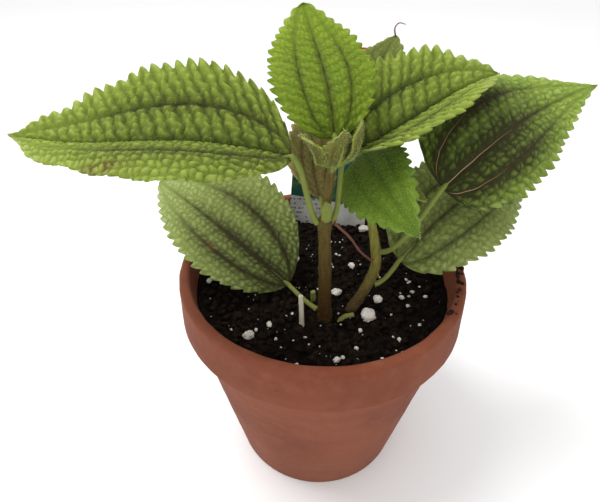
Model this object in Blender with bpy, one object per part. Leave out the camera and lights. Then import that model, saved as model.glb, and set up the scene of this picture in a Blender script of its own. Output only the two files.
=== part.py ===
"""A potted pilea: quilted, toothed leaves on two short stems in a terracotta pot.

The pot stands on z = 0 with its axis on the z axis.  The front of the plant faces -Y.
The plant is drawn from the soil's level, so it moves with the soil and the pot.
Every sub-part is one closed body.  Parts that touch on the real plant are drawn
TOUCH apart here, so that each stays a body of its own.
"""
import math
import random

import bpy
import numpy as np
from mathutils import Vector

MM = 0.001
TOUCH = 0.3 * MM  # the sliver left between parts that touch

# ---- pot: a clay pot with a plain band round its rim ----
POT_HEIGHT = 93.5 * MM
RIM_RADIUS = 53.0 * MM  # outside, at the top of the band
BAND_HEIGHT = 17.6 * MM
BAND_FLARE = 0.7 * MM  # how much wider the band is at its foot
BAND_STEP = 3.4 * MM  # how far the band stands out from the body under it
POT_FOOT_RADIUS = 36.4 * MM
RIM_WALL = 4.0 * MM
FOOT_WALL = 4.9 * MM
FLOOR_THICKNESS = 5.5 * MM
DRAIN_RADIUS = 6.0 * MM
LIP_ROUND = 1.6 * MM
EDGE_ROUND = 1.0 * MM
POT_SEGMENTS = 54
WALL_RINGS = 4

BAND_FOOT_RADIUS = RIM_RADIUS + BAND_FLARE
POT_NECK_RADIUS = BAND_FOOT_RADIUS - BAND_STEP
LIP_RADIUS = RIM_RADIUS - RIM_WALL
FLOOR_RADIUS = POT_FOOT_RADIUS - FOOT_WALL

# ---- soil ----
SOIL_BELOW_RIM = 9.0 * MM
SOIL_BUMP = 0.42 * MM
FINE_BUMP_SHARE = 0.6
SOIL_EDGE_DROP = 3.0 * MM  # the soil meets the wall this far under its mean level
SOIL_RINGS = 9
SOIL_SEGMENTS = 48
SOCKET_SPARE = 0.4 * MM  # left under each stem and stick in its socket in the soil
SOCKET_STATIONS = 3  # how many stations of a stem lie in or near the soil

SOIL_TOP = POT_HEIGHT - SOIL_BELOW_RIM

# ---- plant label ----
LABEL_OFFSET = 3.9 * MM  # to the right of the pot's axis
LABEL_WALL_GAP = 3.6 * MM  # from its outer corner to the pot wall
LABEL_FOOT_WIDTH = 34.5 * MM
LABEL_TOP_WIDTH = 27.0 * MM
LABEL_TOP_SHIFT = 1.6 * MM
LABEL_ABOVE_SOIL = 76.0 * MM
LABEL_BELOW_SOIL = 14.0 * MM
LABEL_SHOULDER_DEPTH = 2.0 * MM  # where its straight sides turn in to the point
LABEL_THICKNESS = 0.7 * MM
LABEL_CORNER = 4.0 * MM
LABEL_TURN = -5.0  # degrees about the z axis

# ---- stems: points along the middle, with the radius there; mm, heights from the soil ----
LEFT_STEM = (
    ((0.6, -20.1, -9.0), 2.4),
    ((0.6, -20.1, -0.5), 3.0),
    ((0.4, -20.1, 5.5), 2.3),
    ((0.0, -20.1, 23.5), 2.1),
    ((-0.6, -20.1, 36.0), 2.0),
    ((-0.7, -20.1, 39.8), 2.5),
    ((-0.6, -20.1, 42.7), 1.5),
    ((0.2, -20.1, 51.5), 1.3),
    ((0.9, -20.1, 60.9), 1.2),
)
RIGHT_STEM = (
    ((8.6, -17.6, -9.0), 1.8),
    ((10.0, -17.0, 0.1), 2.0),
    ((13.2, -15.4, 5.5), 1.9),
    ((16.4, -13.4, 11.2), 1.9),
    ((18.2, -11.4, 17.7), 1.8),
    ((17.6, -9.6, 23.5), 1.7),
    ((16.2, -7.6, 30.5), 1.5),
    ((15.2, -5.6, 37.1), 1.4),
    ((14.6, -4.0, 42.5), 1.2),
)
RUNNER_SHOOT = (
    ((4.9, -22.4, -7.5), 0.8),
    ((5.2, -22.6, -0.5), 0.9),
    ((7.4, -22.2, 2.1), 0.9),
    ((10.6, -22.0, 2.9), 0.8),
)
CUT_STUB = (
    ((-3.2, -12.9, -8.0), 1.0),
    ((-3.2, -12.9, 0.0), 1.1),
    ((-3.5, -13.0, 5.5), 0.9),
)
PALE_STICK = (
    ((-7.5, -24.2, -8.0), 0.9),
    ((-7.5, -24.2, 0.0), 0.9),
    ((-7.9, -23.6, 13.0), 0.8),
)
DRY_STALK = (
    ((3.0, -21.7, 40.5), 0.45),
    ((7.5, -19.2, 33.7), 0.4),
    ((11.5, -16.2, 26.1), 0.4),
    ((15.7, -12.3, 18.9), 0.45),
)
STEM_SEGMENTS = 14
TWIG_SEGMENTS = 10
STEPS_PER_SPAN = 3

# ---- bud between the stalks of the lowest leaf pair; mm, height from the soil ----
BUD_CENTRE = (-0.4, -22.6, 45.1)
BUD_SIZE = (3.2, 1.5, 6.4)

# ---- leaves ----
LEAF_HALF_THICKNESS = 0.35 * MM
END_HALF_WIDTH = 0.3 * MM  # what is left of the width at the very ends of a blade
LEAF_COLUMNS = 3  # strips from the midrib to each margin
SMALL_LEAF_COLUMNS = 2
SMALL_LEAF_TEETH = 12  # a leaf with fewer teeth than this counts as small
STALK_RINGS = 9
TOOTH_TIP_PHASE = 0.78  # teeth lean toward the leaf tip
BLEND_END = 0.07  # share of the blade over which the stalk flattens into it
PLAIN_STATIONS = (0.012, 0.03)  # shares of the blade before its first tooth
FIRST_TOOTH = 0.05
TOOTHED_SHARE = 0.93
LAST_STATION = 0.985
RIB_SHARE = 0.8  # depth of the midrib at the base, of the stalk's radius
RIB_TAPER = 0.7
TIP_THINNING = 0.4
MARGIN_OVERHANG = 0.12 * MM
STALK_LEAVES = 0.35  # how far a stalk keeps its first direction, of its reach
STALK_ARRIVES = 0.15  # how far it runs in line with the blade, of its reach
STALK_FOOT_SWELL = 0.15

# Each leaf: foot of the stalk on its stem, direction it leaves the stem, base and
# tip of the blade (mm, heights from the soil); half widths right and left of the
# midrib, seen from the base (mm); arch of the blade along its length, an S-bend of
# the same kind and a sideways sweep (mm); roll of the blade about its length, rise
# of the right and left halves from the midrib and how much each then curls down
# again (degrees); place of the widest point and sharpness of the tip; stalk radius,
# tooth depth (mm) and teeth on each side.
LEAVES = {
    "leaf_left_large": dict(
        foot=(-3.85, -20.95, 40.5), out=(-0.5, -0.2, 1.0),
        base=(-10.5, -24.0, 63.5), tip=(-91.5, -12.5, 65.0),
        left=19.1, right=20.5, arch=5.0, bend=2.0, sweep=-4.2, roll=20, rise=(30, 50),
        curl=(2, 70), widest=0.33, taper=1.15, stalk=0.85, tooth=1.5, teeth=19),
    "leaf_centre_upright": dict(
        foot=(0.95, -20.1, 61.5), out=(0.0, 0.0, 1.0),
        base=(1.3, -19.4, 67.0), tip=(-7.3, 15.0, 94.1),
        left=14.2, right=13.0, arch=2.7, bend=1.5, sweep=0.6, roll=5, rise=(12, 11),
        curl=(21, 22), widest=0.40, taper=0.8, stalk=0.8, tooth=1.0, teeth=17),
    "leaf_right_upper": dict(
        foot=(2.5, -19.75, 40.7), out=(0.45, 0.2, 1.0),
        base=(5.4, -13.3, 59.2), tip=(54.0, 11.0, 75.0),
        left=18.3, right=16.5, arch=2.0, bend=-1.0, sweep=0.8, roll=-14, rise=(36, 36),
        curl=(2, 2), widest=0.38, taper=1.0, stalk=0.85, tooth=1.4, teeth=16),
    "leaf_right_large": dict(
        foot=(20.1, -11.4, 22.1), out=(0.5, -0.8, 0.5),
        base=(35.3, -13.8, 48.2), tip=(91.5, 20.0, 68.5),
        left=24.7, right=16.8, arch=4.5, bend=2.5, sweep=-3.8, roll=-44, rise=(13, 0),
        curl=(20, 38), widest=0.30, taper=1.15, stalk=0.85, tooth=1.3, teeth=18),
    "leaf_right_lower": dict(
        foot=(18.9, -13.4, 9.5), out=(0.8, 0.1, 0.1),
        base=(26.4, -10.6, 17.8), tip=(71.7, 22.5, 38.7),
        left=18.2, right=18.3, arch=9.7, bend=3.0, sweep=1.0, roll=-19, rise=(5, 15),
        curl=(31, 16), widest=0.41, taper=0.7, stalk=0.85, tooth=1.2, teeth=17),
    "leaf_left_lower": dict(
        foot=(-2.6, -18.6, 2.4), out=(-0.8, 0.5, 0.2),
        base=(-12.7, -7.2, 4.1), tip=(-64.0, 27.0, 28.2),
        left=16.0, right=23.5, arch=12.5, bend=0.0, sweep=-1.0, roll=30, rise=(15, 15),
        curl=(17, 16), widest=0.39, taper=0.95, stalk=0.85, tooth=1.2, teeth=18),
    "leaf_front_drooping": dict(
        foot=(14.6, -4.0, 43.2), out=(-0.1, 0.3, 1.0),
        base=(13.2, 4.0, 52.1), tip=(25.5, -31.9, 42.7),
        left=9.5, right=13.0, arch=7.0, bend=-0.5, sweep=-1.0, roll=-45, rise=(14, 12),
        curl=(15, 15), widest=0.4, taper=1.0, stalk=0.8, tooth=0.9, teeth=13),
    "leaf_back_small": dict(
        foot=(1.0, -18.4, 58.1), out=(0.1, 0.9, 0.1),
        base=(8.2, 7.4, 66.5), tip=(23.2, 24.8, 83.0),
        left=8.8, right=9.6, arch=0.4, bend=0.0, sweep=0.4, roll=-2, rise=(14, 14),
        curl=(18, 18), widest=0.40, taper=0.95, stalk=0.7, tooth=0.7, teeth=11),
    "leaf_back_shoot": dict(
        foot=(-0.9, -17.2, 40.3), out=(0.0, 1.0, 0.1),
        base=(-1.6, -10.6, 42.5), tip=(-6.0, 12.5, 62.5),
        left=10.5, right=9.0, arch=1.2, bend=-0.9, sweep=-1.2, roll=-30, rise=(13, 15),
        curl=(20, 16), widest=0.42, taper=0.92, stalk=0.7, tooth=0.6, teeth=10),
    "crown_leaf_right": dict(
        foot=(2.5, -21.3, 59.9), out=(0.8, -0.4, 0.5),
        base=(5.0, -23.3, 62.5), tip=(7.5, -22.5, 73.5),
        left=3.4, right=3.4, arch=-1.2, bend=0.0, sweep=0.0, roll=30, rise=(20, 20),
        curl=(10, 10), widest=0.40, taper=1.0, stalk=0.5, tooth=0.4, teeth=8),
    "crown_leaf_front": dict(
        foot=(1.0, -21.8, 58.5), out=(0.1, -0.9, 0.4),
        base=(1.4, -25.0, 61.7), tip=(3.0, -27.2, 72.5),
        left=3.2, right=3.2, arch=-1.0, bend=0.0, sweep=0.0, roll=10, rise=(22, 22),
        curl=(10, 10), widest=0.38, taper=1.0, stalk=0.5, tooth=0.4, teeth=8),
    "crown_leaf_left": dict(
        foot=(-0.7, -21.2, 59.5), out=(-0.8, -0.4, 0.4),
        base=(-3.0, -23.2, 61.5), tip=(-8.0, -25.4, 70.5),
        left=3.0, right=3.0, arch=1.0, bend=0.0, sweep=0.0, roll=0, rise=(15, 15),
        curl=(10, 10), widest=0.40, taper=1.0, stalk=0.5, tooth=0.4, teeth=7),
    "tip_leaf_back": dict(
        foot=(14.8, -2.3, 40.9), out=(0.1, 0.9, 0.1),
        base=(15.6, 2.4, 42.1), tip=(19.0, 21.0, 41.5),
        left=6.0, right=6.0, arch=1.6, bend=0.0, sweep=0.0, roll=0, rise=(16, 16),
        curl=(18, 18), widest=0.40, taper=0.95, stalk=0.6, tooth=0.5, teeth=9),
    "tip_leaf_front": dict(
        foot=(15.5, -6.6, 40.3), out=(0.4, -0.8, 0.1),
        base=(17.4, -9.4, 43.1), tip=(30.0, -17.0, 46.1),
        left=4.6, right=4.6, arch=1.4, bend=0.0, sweep=0.0, roll=0, rise=(18, 18),
        curl=(18, 18), widest=0.40, taper=0.95, stalk=0.6, tooth=0.5, teeth=9),
}

# ---- perlite grains, size across last; mm and degrees ----
GRAINS_BY_STEMS = (  # x and y
    (20.4, -11.8, 4.8), (16.0, -20.6, 5.6), (5.2, -8.2, 4.4), (29.3, -11.2, 2.8),
    (12.6, 8.2, 3.0), (-9.6, 11.8, 2.8),
)
GRAINS_BY_WALL = (  # direction from the pot's axis and distance in from the wall
    (183.1, 3.7, 2.7), (229.5, 7.3, 3.6), (232.8, 15.6, 2.6), (274.9, 5.2, 2.6),
    (308.4, 6.3, 2.5),
)
GRAINS_BY_LABEL = (  # distance to the right of the label's middle and in front of it
    (16.7, 3.3, 4.8),
)
GRAIN_DEPTH_SHARE = 0.9
GRAIN_FLATNESS = 0.75
GRAIN_LUMPINESS = 0.10
GRAIN_FOOT_SHARE = 0.4  # a grain rests on the soil within this share of its size
GRAIN_SEED = 41

# ---- colours and roughness of the materials ----
TERRACOTTA = (0.24, 0.085, 0.052)
SOIL_BROWN = (0.012, 0.008, 0.006)
LABEL_GREY = (0.17, 0.17, 0.15)
STEM_BROWN = (0.085, 0.048, 0.017)
STALK_GREEN = (0.16, 0.20, 0.06)
LEAF_GREEN = (0.11, 0.18, 0.035)
YOUNG_GREEN = (0.14, 0.20, 0.03)
DRY_RED = (0.13, 0.05, 0.04)
STICK_CREAM = (0.42, 0.38, 0.28)
PERLITE_WHITE = (0.55, 0.52, 0.46)
CLAY_ROUGHNESS = 0.85
SOIL_ROUGHNESS = 0.95
LABEL_ROUGHNESS = 0.6
STEM_ROUGHNESS = 0.7
LEAF_ROUGHNESS = 0.6
GRAIN_ROUGHNESS = 0.9


def clear_scene():
    for obj in list(bpy.data.objects):
        bpy.data.objects.remove(obj, do_unlink=True)


def make_material(name, colour, roughness):
    material = bpy.data.materials.new(name)
    material.use_nodes = True
    shader = material.node_tree.nodes["Principled BSDF"]
    shader.inputs["Base Color"].default_value = (*colour, 1.0)
    shader.inputs["Roughness"].default_value = roughness
    return material


def add_part(name, vertices, faces, colour, roughness, origin=(0.0, 0.0, 0.0)):
    """Add one closed body; vertices are in metres in the whole object's frame."""
    offset = np.array(origin, dtype=float)
    local = [tuple(float(c) for c in np.asarray(v, dtype=float) - offset) for v in vertices]
    mesh = bpy.data.meshes.new(name)
    mesh.from_pydata(local, [], faces)
    mesh.update()
    for polygon in mesh.polygons:
        polygon.use_smooth = True
    obj = bpy.data.objects.new(name, mesh)
    obj.location = tuple(offset)
    obj.data.materials.append(make_material(name + "_surface", colour, roughness))
    bpy.context.collection.objects.link(obj)
    return obj


def ring_faces(rings, size, closed_loop=False):
    """Quads between neighbouring rings of `size` points."""
    faces = []
    count = rings if closed_loop else rings - 1
    for i in range(count):
        a = i * size
        b = ((i + 1) % rings) * size
        for j in range(size):
            k = (j + 1) % size
            faces.append((a + j, a + k, b + k, b + j))
    return faces


def capped_faces(rings, size):
    """A skin over the rings with a fan to a middle point at each end."""
    faces = ring_faces(rings, size)
    start = rings * size
    end = start + 1
    last = (rings - 1) * size
    for j in range(size):
        k = (j + 1) % size
        faces.append((start, k, j))
        faces.append((end, last + j, last + k))
    return faces


def above_soil(place):
    """A place given in mm with its height from the soil, in the whole object's frame."""
    return np.array(place) * MM + np.array([0.0, 0.0, SOIL_TOP])


def smooth_path(points):
    """Centres and radii along a curve through a stem's stations."""
    values = np.array([[*above_soil(centre), radius * MM] for centre, radius in points])
    padded = np.vstack([2 * values[0] - values[1], values, 2 * values[-1] - values[-2]])
    result = []
    for i in range(len(values) - 1):
        p0, p1, p2, p3 = padded[i:i + 4]
        for step in range(STEPS_PER_SPAN):
            t = step / STEPS_PER_SPAN
            result.append(0.5 * (2 * p1 + (p2 - p0) * t + (2 * p0 - 5 * p1 + 4 * p2 - p3) * t ** 2
                                 + (3 * p1 - p0 - 3 * p2 + p3) * t ** 3))
    result.append(values[-1])
    return np.array(result)


def tube(points, segments, extra=0.0):
    """Vertices and faces of a round rod along a path; `extra` widens it."""
    path = smooth_path(points)
    centres = path[:, :3]
    radii = path[:, 3] + extra
    side = np.array([1.0, 0.0, 0.0])
    vertices = []
    for i, centre in enumerate(centres):
        ahead = centres[min(i + 1, len(centres) - 1)] - centres[max(i - 1, 0)]
        ahead = ahead / np.linalg.norm(ahead)
        side = side - ahead * side.dot(ahead)
        side = side / np.linalg.norm(side)
        other = np.cross(ahead, side)
        for j in range(segments):
            angle = 2 * math.pi * j / segments
            vertices.append(centre + radii[i] * (math.cos(angle) * side + math.sin(angle) * other))
    vertices.append(centres[0])
    vertices.append(centres[-1])
    return vertices, capped_faces(len(centres), segments)


def lathe_loop(profile, segments):
    """Turn a closed (radius, height) outline about the z axis."""
    vertices = []
    for j in range(segments):
        angle = 2 * math.pi * j / segments
        for radius, height in profile:
            vertices.append((radius * math.cos(angle), radius * math.sin(angle), height))
    size = len(profile)
    faces = ring_faces(segments, size, closed_loop=True)
    return vertices, [tuple(reversed(face)) for face in faces]


def arc(centre, radius, start, end, steps):
    """Points on a corner arc in the (radius, height) plane, angles in degrees."""
    points = []
    for i in range(steps + 1):
        angle = math.radians(start + (end - start) * i / steps)
        points.append((centre[0] + radius * math.cos(angle), centre[1] + radius * math.sin(angle)))
    return points


def inner_radius(height):
    """Radius of the pot's inner wall at a height."""
    share = (height - FLOOR_THICKNESS) / (POT_HEIGHT - FLOOR_THICKNESS)
    return FLOOR_RADIUS + (LIP_RADIUS - FLOOR_RADIUS) * share


def make_pot():
    band_foot = POT_HEIGHT - BAND_HEIGHT
    profile = [(DRAIN_RADIUS, 0.0)]
    profile += arc((POT_FOOT_RADIUS - EDGE_ROUND, EDGE_ROUND), EDGE_ROUND, -90, 0, 3)
    for i in range(WALL_RINGS):
        share = (i + 1) / WALL_RINGS
        radius = POT_FOOT_RADIUS + (POT_NECK_RADIUS - POT_FOOT_RADIUS) * share
        profile.append((radius, EDGE_ROUND + (band_foot - EDGE_ROUND) * share))
    profile += arc((BAND_FOOT_RADIUS - EDGE_ROUND, band_foot + EDGE_ROUND), EDGE_ROUND, -90, 0, 3)
    profile += arc((RIM_RADIUS - LIP_ROUND, POT_HEIGHT - LIP_ROUND), LIP_ROUND, 0, 90, 5)
    lip_middle = (LIP_RADIUS + LIP_ROUND, POT_HEIGHT - LIP_ROUND)
    profile += arc(lip_middle, LIP_ROUND, 100, 180, 4)
    for i in range(1, WALL_RINGS):
        height = POT_HEIGHT - (POT_HEIGHT - FLOOR_THICKNESS) * i / WALL_RINGS
        profile.append((inner_radius(height), height))
    profile.append((FLOOR_RADIUS, FLOOR_THICKNESS))
    profile.append((DRAIN_RADIUS, FLOOR_THICKNESS))
    vertices, faces = lathe_loop(profile, POT_SEGMENTS)
    add_part("pot", vertices, faces, TERRACOTTA, CLAY_ROUGHNESS)


def soil_height(x, y):
    """Height of the crumbly soil surface."""
    u = x / MM
    v = y / MM
    broad = math.sin(0.31 * u + 0.9) * math.cos(0.27 * v)
    fine = math.sin(0.53 * v + 0.35 * u)
    return SOIL_TOP + SOIL_BUMP * (broad + FINE_BUMP_SHARE * fine)


def make_soil():
    bottom = FLOOR_THICKNESS + TOUCH
    wall_top = SOIL_TOP - SOIL_EDGE_DROP
    edge = inner_radius(wall_top) - TOUCH
    vertices = []
    for i in range(WALL_RINGS + 1):
        height = bottom + (wall_top - bottom) * i / WALL_RINGS
        radius = inner_radius(height) - TOUCH
        for j in range(SOIL_SEGMENTS):
            angle = 2 * math.pi * j / SOIL_SEGMENTS
            vertices.append((radius * math.cos(angle), radius * math.sin(angle), height))
    for i in range(SOIL_RINGS):
        radius = edge * (1 - i / SOIL_RINGS)
        for j in range(SOIL_SEGMENTS):
            angle = 2 * math.pi * j / SOIL_SEGMENTS
            x = radius * math.cos(angle)
            y = radius * math.sin(angle)
            vertices.append((x, y, soil_height(x, y)))
    vertices.append((0.0, 0.0, bottom))
    vertices.append((0.0, 0.0, soil_height(0.0, 0.0)))
    faces = capped_faces(WALL_RINGS + 1 + SOIL_RINGS, SOIL_SEGMENTS)
    return add_part("soil", vertices, faces, SOIL_BROWN, SOIL_ROUGHNESS)


def label_place(across, depth=0.0):
    """x and y of a place on the label: across it and behind its middle plane."""
    turn = math.radians(LABEL_TURN)
    corner = LABEL_OFFSET + LABEL_FOOT_WIDTH / 2 * math.cos(turn)
    reach = inner_radius(SOIL_TOP - LABEL_SHOULDER_DEPTH) - LABEL_WALL_GAP
    middle = math.sqrt(reach ** 2 - corner ** 2) - LABEL_FOOT_WIDTH / 2 * math.sin(turn)
    x = LABEL_OFFSET + across * math.cos(turn) - depth * math.sin(turn)
    y = middle + across * math.sin(turn) + depth * math.cos(turn)
    return x, y


def label_outline(spare):
    """The label's outline, from the point in the soil round to its rounded top."""
    top = SOIL_TOP + LABEL_ABOVE_SOIL
    foot = SOIL_TOP - LABEL_SHOULDER_DEPTH
    left_foot = -LABEL_FOOT_WIDTH / 2 - spare
    right_foot = LABEL_FOOT_WIDTH / 2 + spare
    left_top = LABEL_TOP_SHIFT - LABEL_TOP_WIDTH / 2 - spare
    right_top = LABEL_TOP_SHIFT + LABEL_TOP_WIDTH / 2 + spare
    points = [(0.0, SOIL_TOP - LABEL_BELOW_SOIL - spare), (right_foot, foot)]
    points += arc((right_top - LABEL_CORNER, top - LABEL_CORNER), LABEL_CORNER, 5, 90, 5)
    points += arc((left_top + LABEL_CORNER, top - LABEL_CORNER), LABEL_CORNER, 90, 175, 5)
    points.append((left_foot, foot))
    return points


def make_label(name, spare):
    half = LABEL_THICKNESS / 2 + spare
    outline = label_outline(spare)
    vertices = []
    for depth in (-half, half):
        for across, height in outline:
            vertices.append((*label_place(across, depth), height))
    size = len(outline)
    faces = [tuple(range(size)), tuple(reversed(range(size, 2 * size)))]
    for j in range(size):
        k = (j + 1) % size
        faces.append((j, size + j, size + k, k))
    origin = (*label_place(0.0), SOIL_TOP)
    label = add_part(name, vertices, faces, LABEL_GREY, LABEL_ROUGHNESS, origin)
    for polygon in label.data.polygons:
        polygon.use_smooth = False
    return label


def make_rod(name, points, colour, segments):
    vertices, faces = tube(points, segments)
    return add_part(name, vertices, faces, colour, STEM_ROUGHNESS, above_soil(points[1][0]))


def cut_socket(soil, cutter):
    """Open a socket in the soil for a part that stands in it."""
    cutter.hide_render = True
    cutter.display_type = "WIRE"
    cut = soil.modifiers.new(cutter.name, "BOOLEAN")
    cut.operation = "DIFFERENCE"
    cut.solver = "EXACT"
    cut.object = cutter


def smooth_step(value):
    value = min(1.0, max(0.0, value))
    return value * value * (3 - 2 * value)


class Blade:
    """The curved middle surface of a leaf, from its base to its tip."""

    def __init__(self, leaf):
        self.leaf = leaf
        self.base = above_soil(leaf["base"])
        self.tip = above_soil(leaf["tip"])
        self.length = np.linalg.norm(self.tip - self.base)
        self.along = (self.tip - self.base) / self.length
        level = np.cross(self.along, [0.0, 0.0, 1.0])
        level = level / np.linalg.norm(level)
        upright = np.cross(level, self.along)
        roll = math.radians(leaf["roll"])
        self.side = level * math.cos(roll) + upright * math.sin(roll)
        self.up = upright * math.cos(roll) - level * math.sin(roll)

    def outline(self, s):
        """Half width at s as a share of the largest, 0 at base and tip."""
        s = min(1 - 1e-6, max(1e-6, s))
        tip_power = self.leaf["taper"]
        widest = self.leaf["widest"]
        base_power = tip_power * widest / (1 - widest)
        peak = widest ** base_power * (1 - widest) ** tip_power
        return s ** base_power * (1 - s) ** tip_power / peak

    def point(self, s, t):
        """A point at share s along the leaf and t across it, 1 at the right margin."""
        leaf = self.leaf
        index = 0 if t > 0 else 1
        half_width = leaf["right"] if t > 0 else leaf["left"]
        width = half_width * MM * self.outline(s) + END_HALF_WIDTH
        rise = math.radians(leaf["rise"][index])
        curl = math.radians(leaf["curl"][index])
        reach = abs(t)
        across = width * (math.sin(rise) - math.sin(rise - curl * reach)) / curl
        lift = width * (math.cos(rise - curl * reach) - math.cos(rise)) / curl
        bow = 4 * s * (1 - s)
        lift += (leaf["arch"] * bow + leaf["bend"] * math.sin(2 * math.pi * s)) * MM
        sideways = leaf["sweep"] * bow * MM + math.copysign(across, t)
        return self.base + self.along * self.length * s + self.up * lift + self.side * sideways


def stalk_points(leaf, blade):
    """Middle line of the leaf stalk, a curve from the stem to the blade."""
    foot = above_soil(leaf["foot"])
    out = np.array(leaf["out"])
    out = out / np.linalg.norm(out)
    reach = np.linalg.norm(blade.base - foot)
    near_foot = foot + out * reach * STALK_LEAVES
    start = blade.point(0.0, 0.0)
    slope = blade.point(PLAIN_STATIONS[-1], 0.0) - start
    slope = slope / np.linalg.norm(slope)
    near_blade = start - slope * reach * STALK_ARRIVES
    points = []
    for i in range(STALK_RINGS):
        t = i / STALK_RINGS
        points.append(foot * (1 - t) ** 3 + 3 * near_foot * t * (1 - t) ** 2
                      + 3 * near_blade * t ** 2 * (1 - t) + start * t ** 3)
    points.append(start)
    return points


def blade_stations(teeth):
    """Shares along the blade, each with whether a tooth has its tip there."""
    stations = [(share, False) for share in PLAIN_STATIONS]
    pitch = TOOTHED_SHARE / teeth
    for i in range(teeth):
        notch = FIRST_TOOTH + pitch * i
        stations.append((notch, False))
        stations.append((notch + TOOTH_TIP_PHASE * pitch, True))
    stations.append((LAST_STATION, False))
    stations.append((1.0, False))
    return stations


def make_leaf(name, leaf, colour):
    """A stalk and toothed blade in one body."""
    blade = Blade(leaf)
    columns = SMALL_LEAF_COLUMNS if leaf["teeth"] < SMALL_LEAF_TEETH else LEAF_COLUMNS
    across = [1 - i / columns for i in range(2 * columns + 1)]
    under = list(reversed(across[1:-1]))
    size = len(across) + len(under)
    stalk = leaf["stalk"] * MM
    path = stalk_points(leaf, blade)
    vertices = []
    rings = 0
    for i, centre in enumerate(path[:-1]):
        ahead = path[i + 1] - path[max(i - 1, 0)]
        ahead = ahead / np.linalg.norm(ahead)
        side = blade.side - ahead * blade.side.dot(ahead)
        side = side / np.linalg.norm(side)
        up = np.cross(side, ahead)
        radius = stalk * (1.0 + STALK_FOOT_SWELL * (1 - smooth_step(i / 2)))
        for j in range(size):
            angle = 2 * math.pi * j / size
            vertices.append(centre + radius * (math.cos(angle) * side + math.sin(angle) * up))
        rings += 1
    for s, is_tooth_tip in blade_stations(leaf["teeth"]):
        centre = blade.point(s, 0.0)
        blend = smooth_step(s / BLEND_END)
        tooth = leaf["tooth"] * MM * math.sqrt(blade.outline(s)) if is_tooth_tip else 0.0
        rib = stalk * (1 - s) ** RIB_TAPER * RIB_SHARE
        half = LEAF_HALF_THICKNESS * (1 - TIP_THINNING * s)
        for j in range(size):
            if j < len(across):
                t = across[j]
                shape = blade.point(s, t) + blade.up * half * (1 - t * t)
            else:
                t = under[j - len(across)]
                depth = half * (1 - t * t) + (rib if t == 0 else 0.0)
                shape = blade.point(s, t) - blade.up * depth
            if abs(t) == 1:
                outward = blade.point(s, t) - blade.point(s, t * 0.8)
                length = np.linalg.norm(outward)
                shape = shape + outward / max(length, 1e-9) * (tooth + MARGIN_OVERHANG)
            angle = 2 * math.pi * j / size
            round_shape = centre + stalk * (math.cos(angle) * blade.side + math.sin(angle) * blade.up)
            vertices.append(round_shape * (1 - blend) + shape * blend)
        rings += 1
    vertices.append(path[0])
    vertices.append(blade.tip + blade.along * END_HALF_WIDTH)
    faces = [tuple(reversed(face)) for face in capped_faces(rings, size)]
    return add_part(name, vertices, faces, colour, LEAF_ROUGHNESS, vertices[-2])


def make_lump(name, centre, size, colour, detail, seed=0, lumpiness=0.0):
    """A small closed lump, the rough ball used for perlite and for the bud."""
    bpy.ops.mesh.primitive_ico_sphere_add(subdivisions=detail, radius=0.5)
    obj = bpy.context.active_object
    obj.name = name
    obj.data.name = name
    chance = random.Random(seed)
    for vertex in obj.data.vertices:
        scale = 1.0 + lumpiness * chance.uniform(-1.0, 1.0)
        vertex.co = Vector([vertex.co[i] * size[i] * scale for i in range(3)])
    for polygon in obj.data.polygons:
        polygon.use_smooth = True
    obj.location = centre
    obj.data.materials.append(make_material(name + "_surface", colour, GRAIN_ROUGHNESS))
    return obj


def grain_places():
    """x, y and size across of every perlite grain, in metres."""
    places = [(x * MM, y * MM, across * MM) for x, y, across in GRAINS_BY_STEMS]
    wall = inner_radius(SOIL_TOP - SOIL_EDGE_DROP)
    for direction, gap, across in GRAINS_BY_WALL:
        angle = math.radians(direction)
        reach = wall - gap * MM
        places.append((reach * math.cos(angle), reach * math.sin(angle), across * MM))
    for right, front, across in GRAINS_BY_LABEL:
        x, y = label_place(right * MM, -front * MM - LABEL_THICKNESS / 2)
        places.append((x, y, across * MM))
    return places


def make_perlite():
    for number, (x, y, across) in enumerate(grain_places(), start=1):
        tall = across * GRAIN_FLATNESS
        reach = across * GRAIN_FOOT_SHARE
        ground = soil_height(x, y)
        for i in range(6):
            angle = math.pi * i / 3
            ground = max(ground, soil_height(x + reach * math.cos(angle), y + reach * math.sin(angle)))
        centre = (x, y, ground + TOUCH + tall / 2)
        size = (across, across * GRAIN_DEPTH_SHARE, tall)
        make_lump("perlite_%02d" % number, centre, size, PERLITE_WHITE, 1,
                  GRAIN_SEED + number, GRAIN_LUMPINESS)


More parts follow.
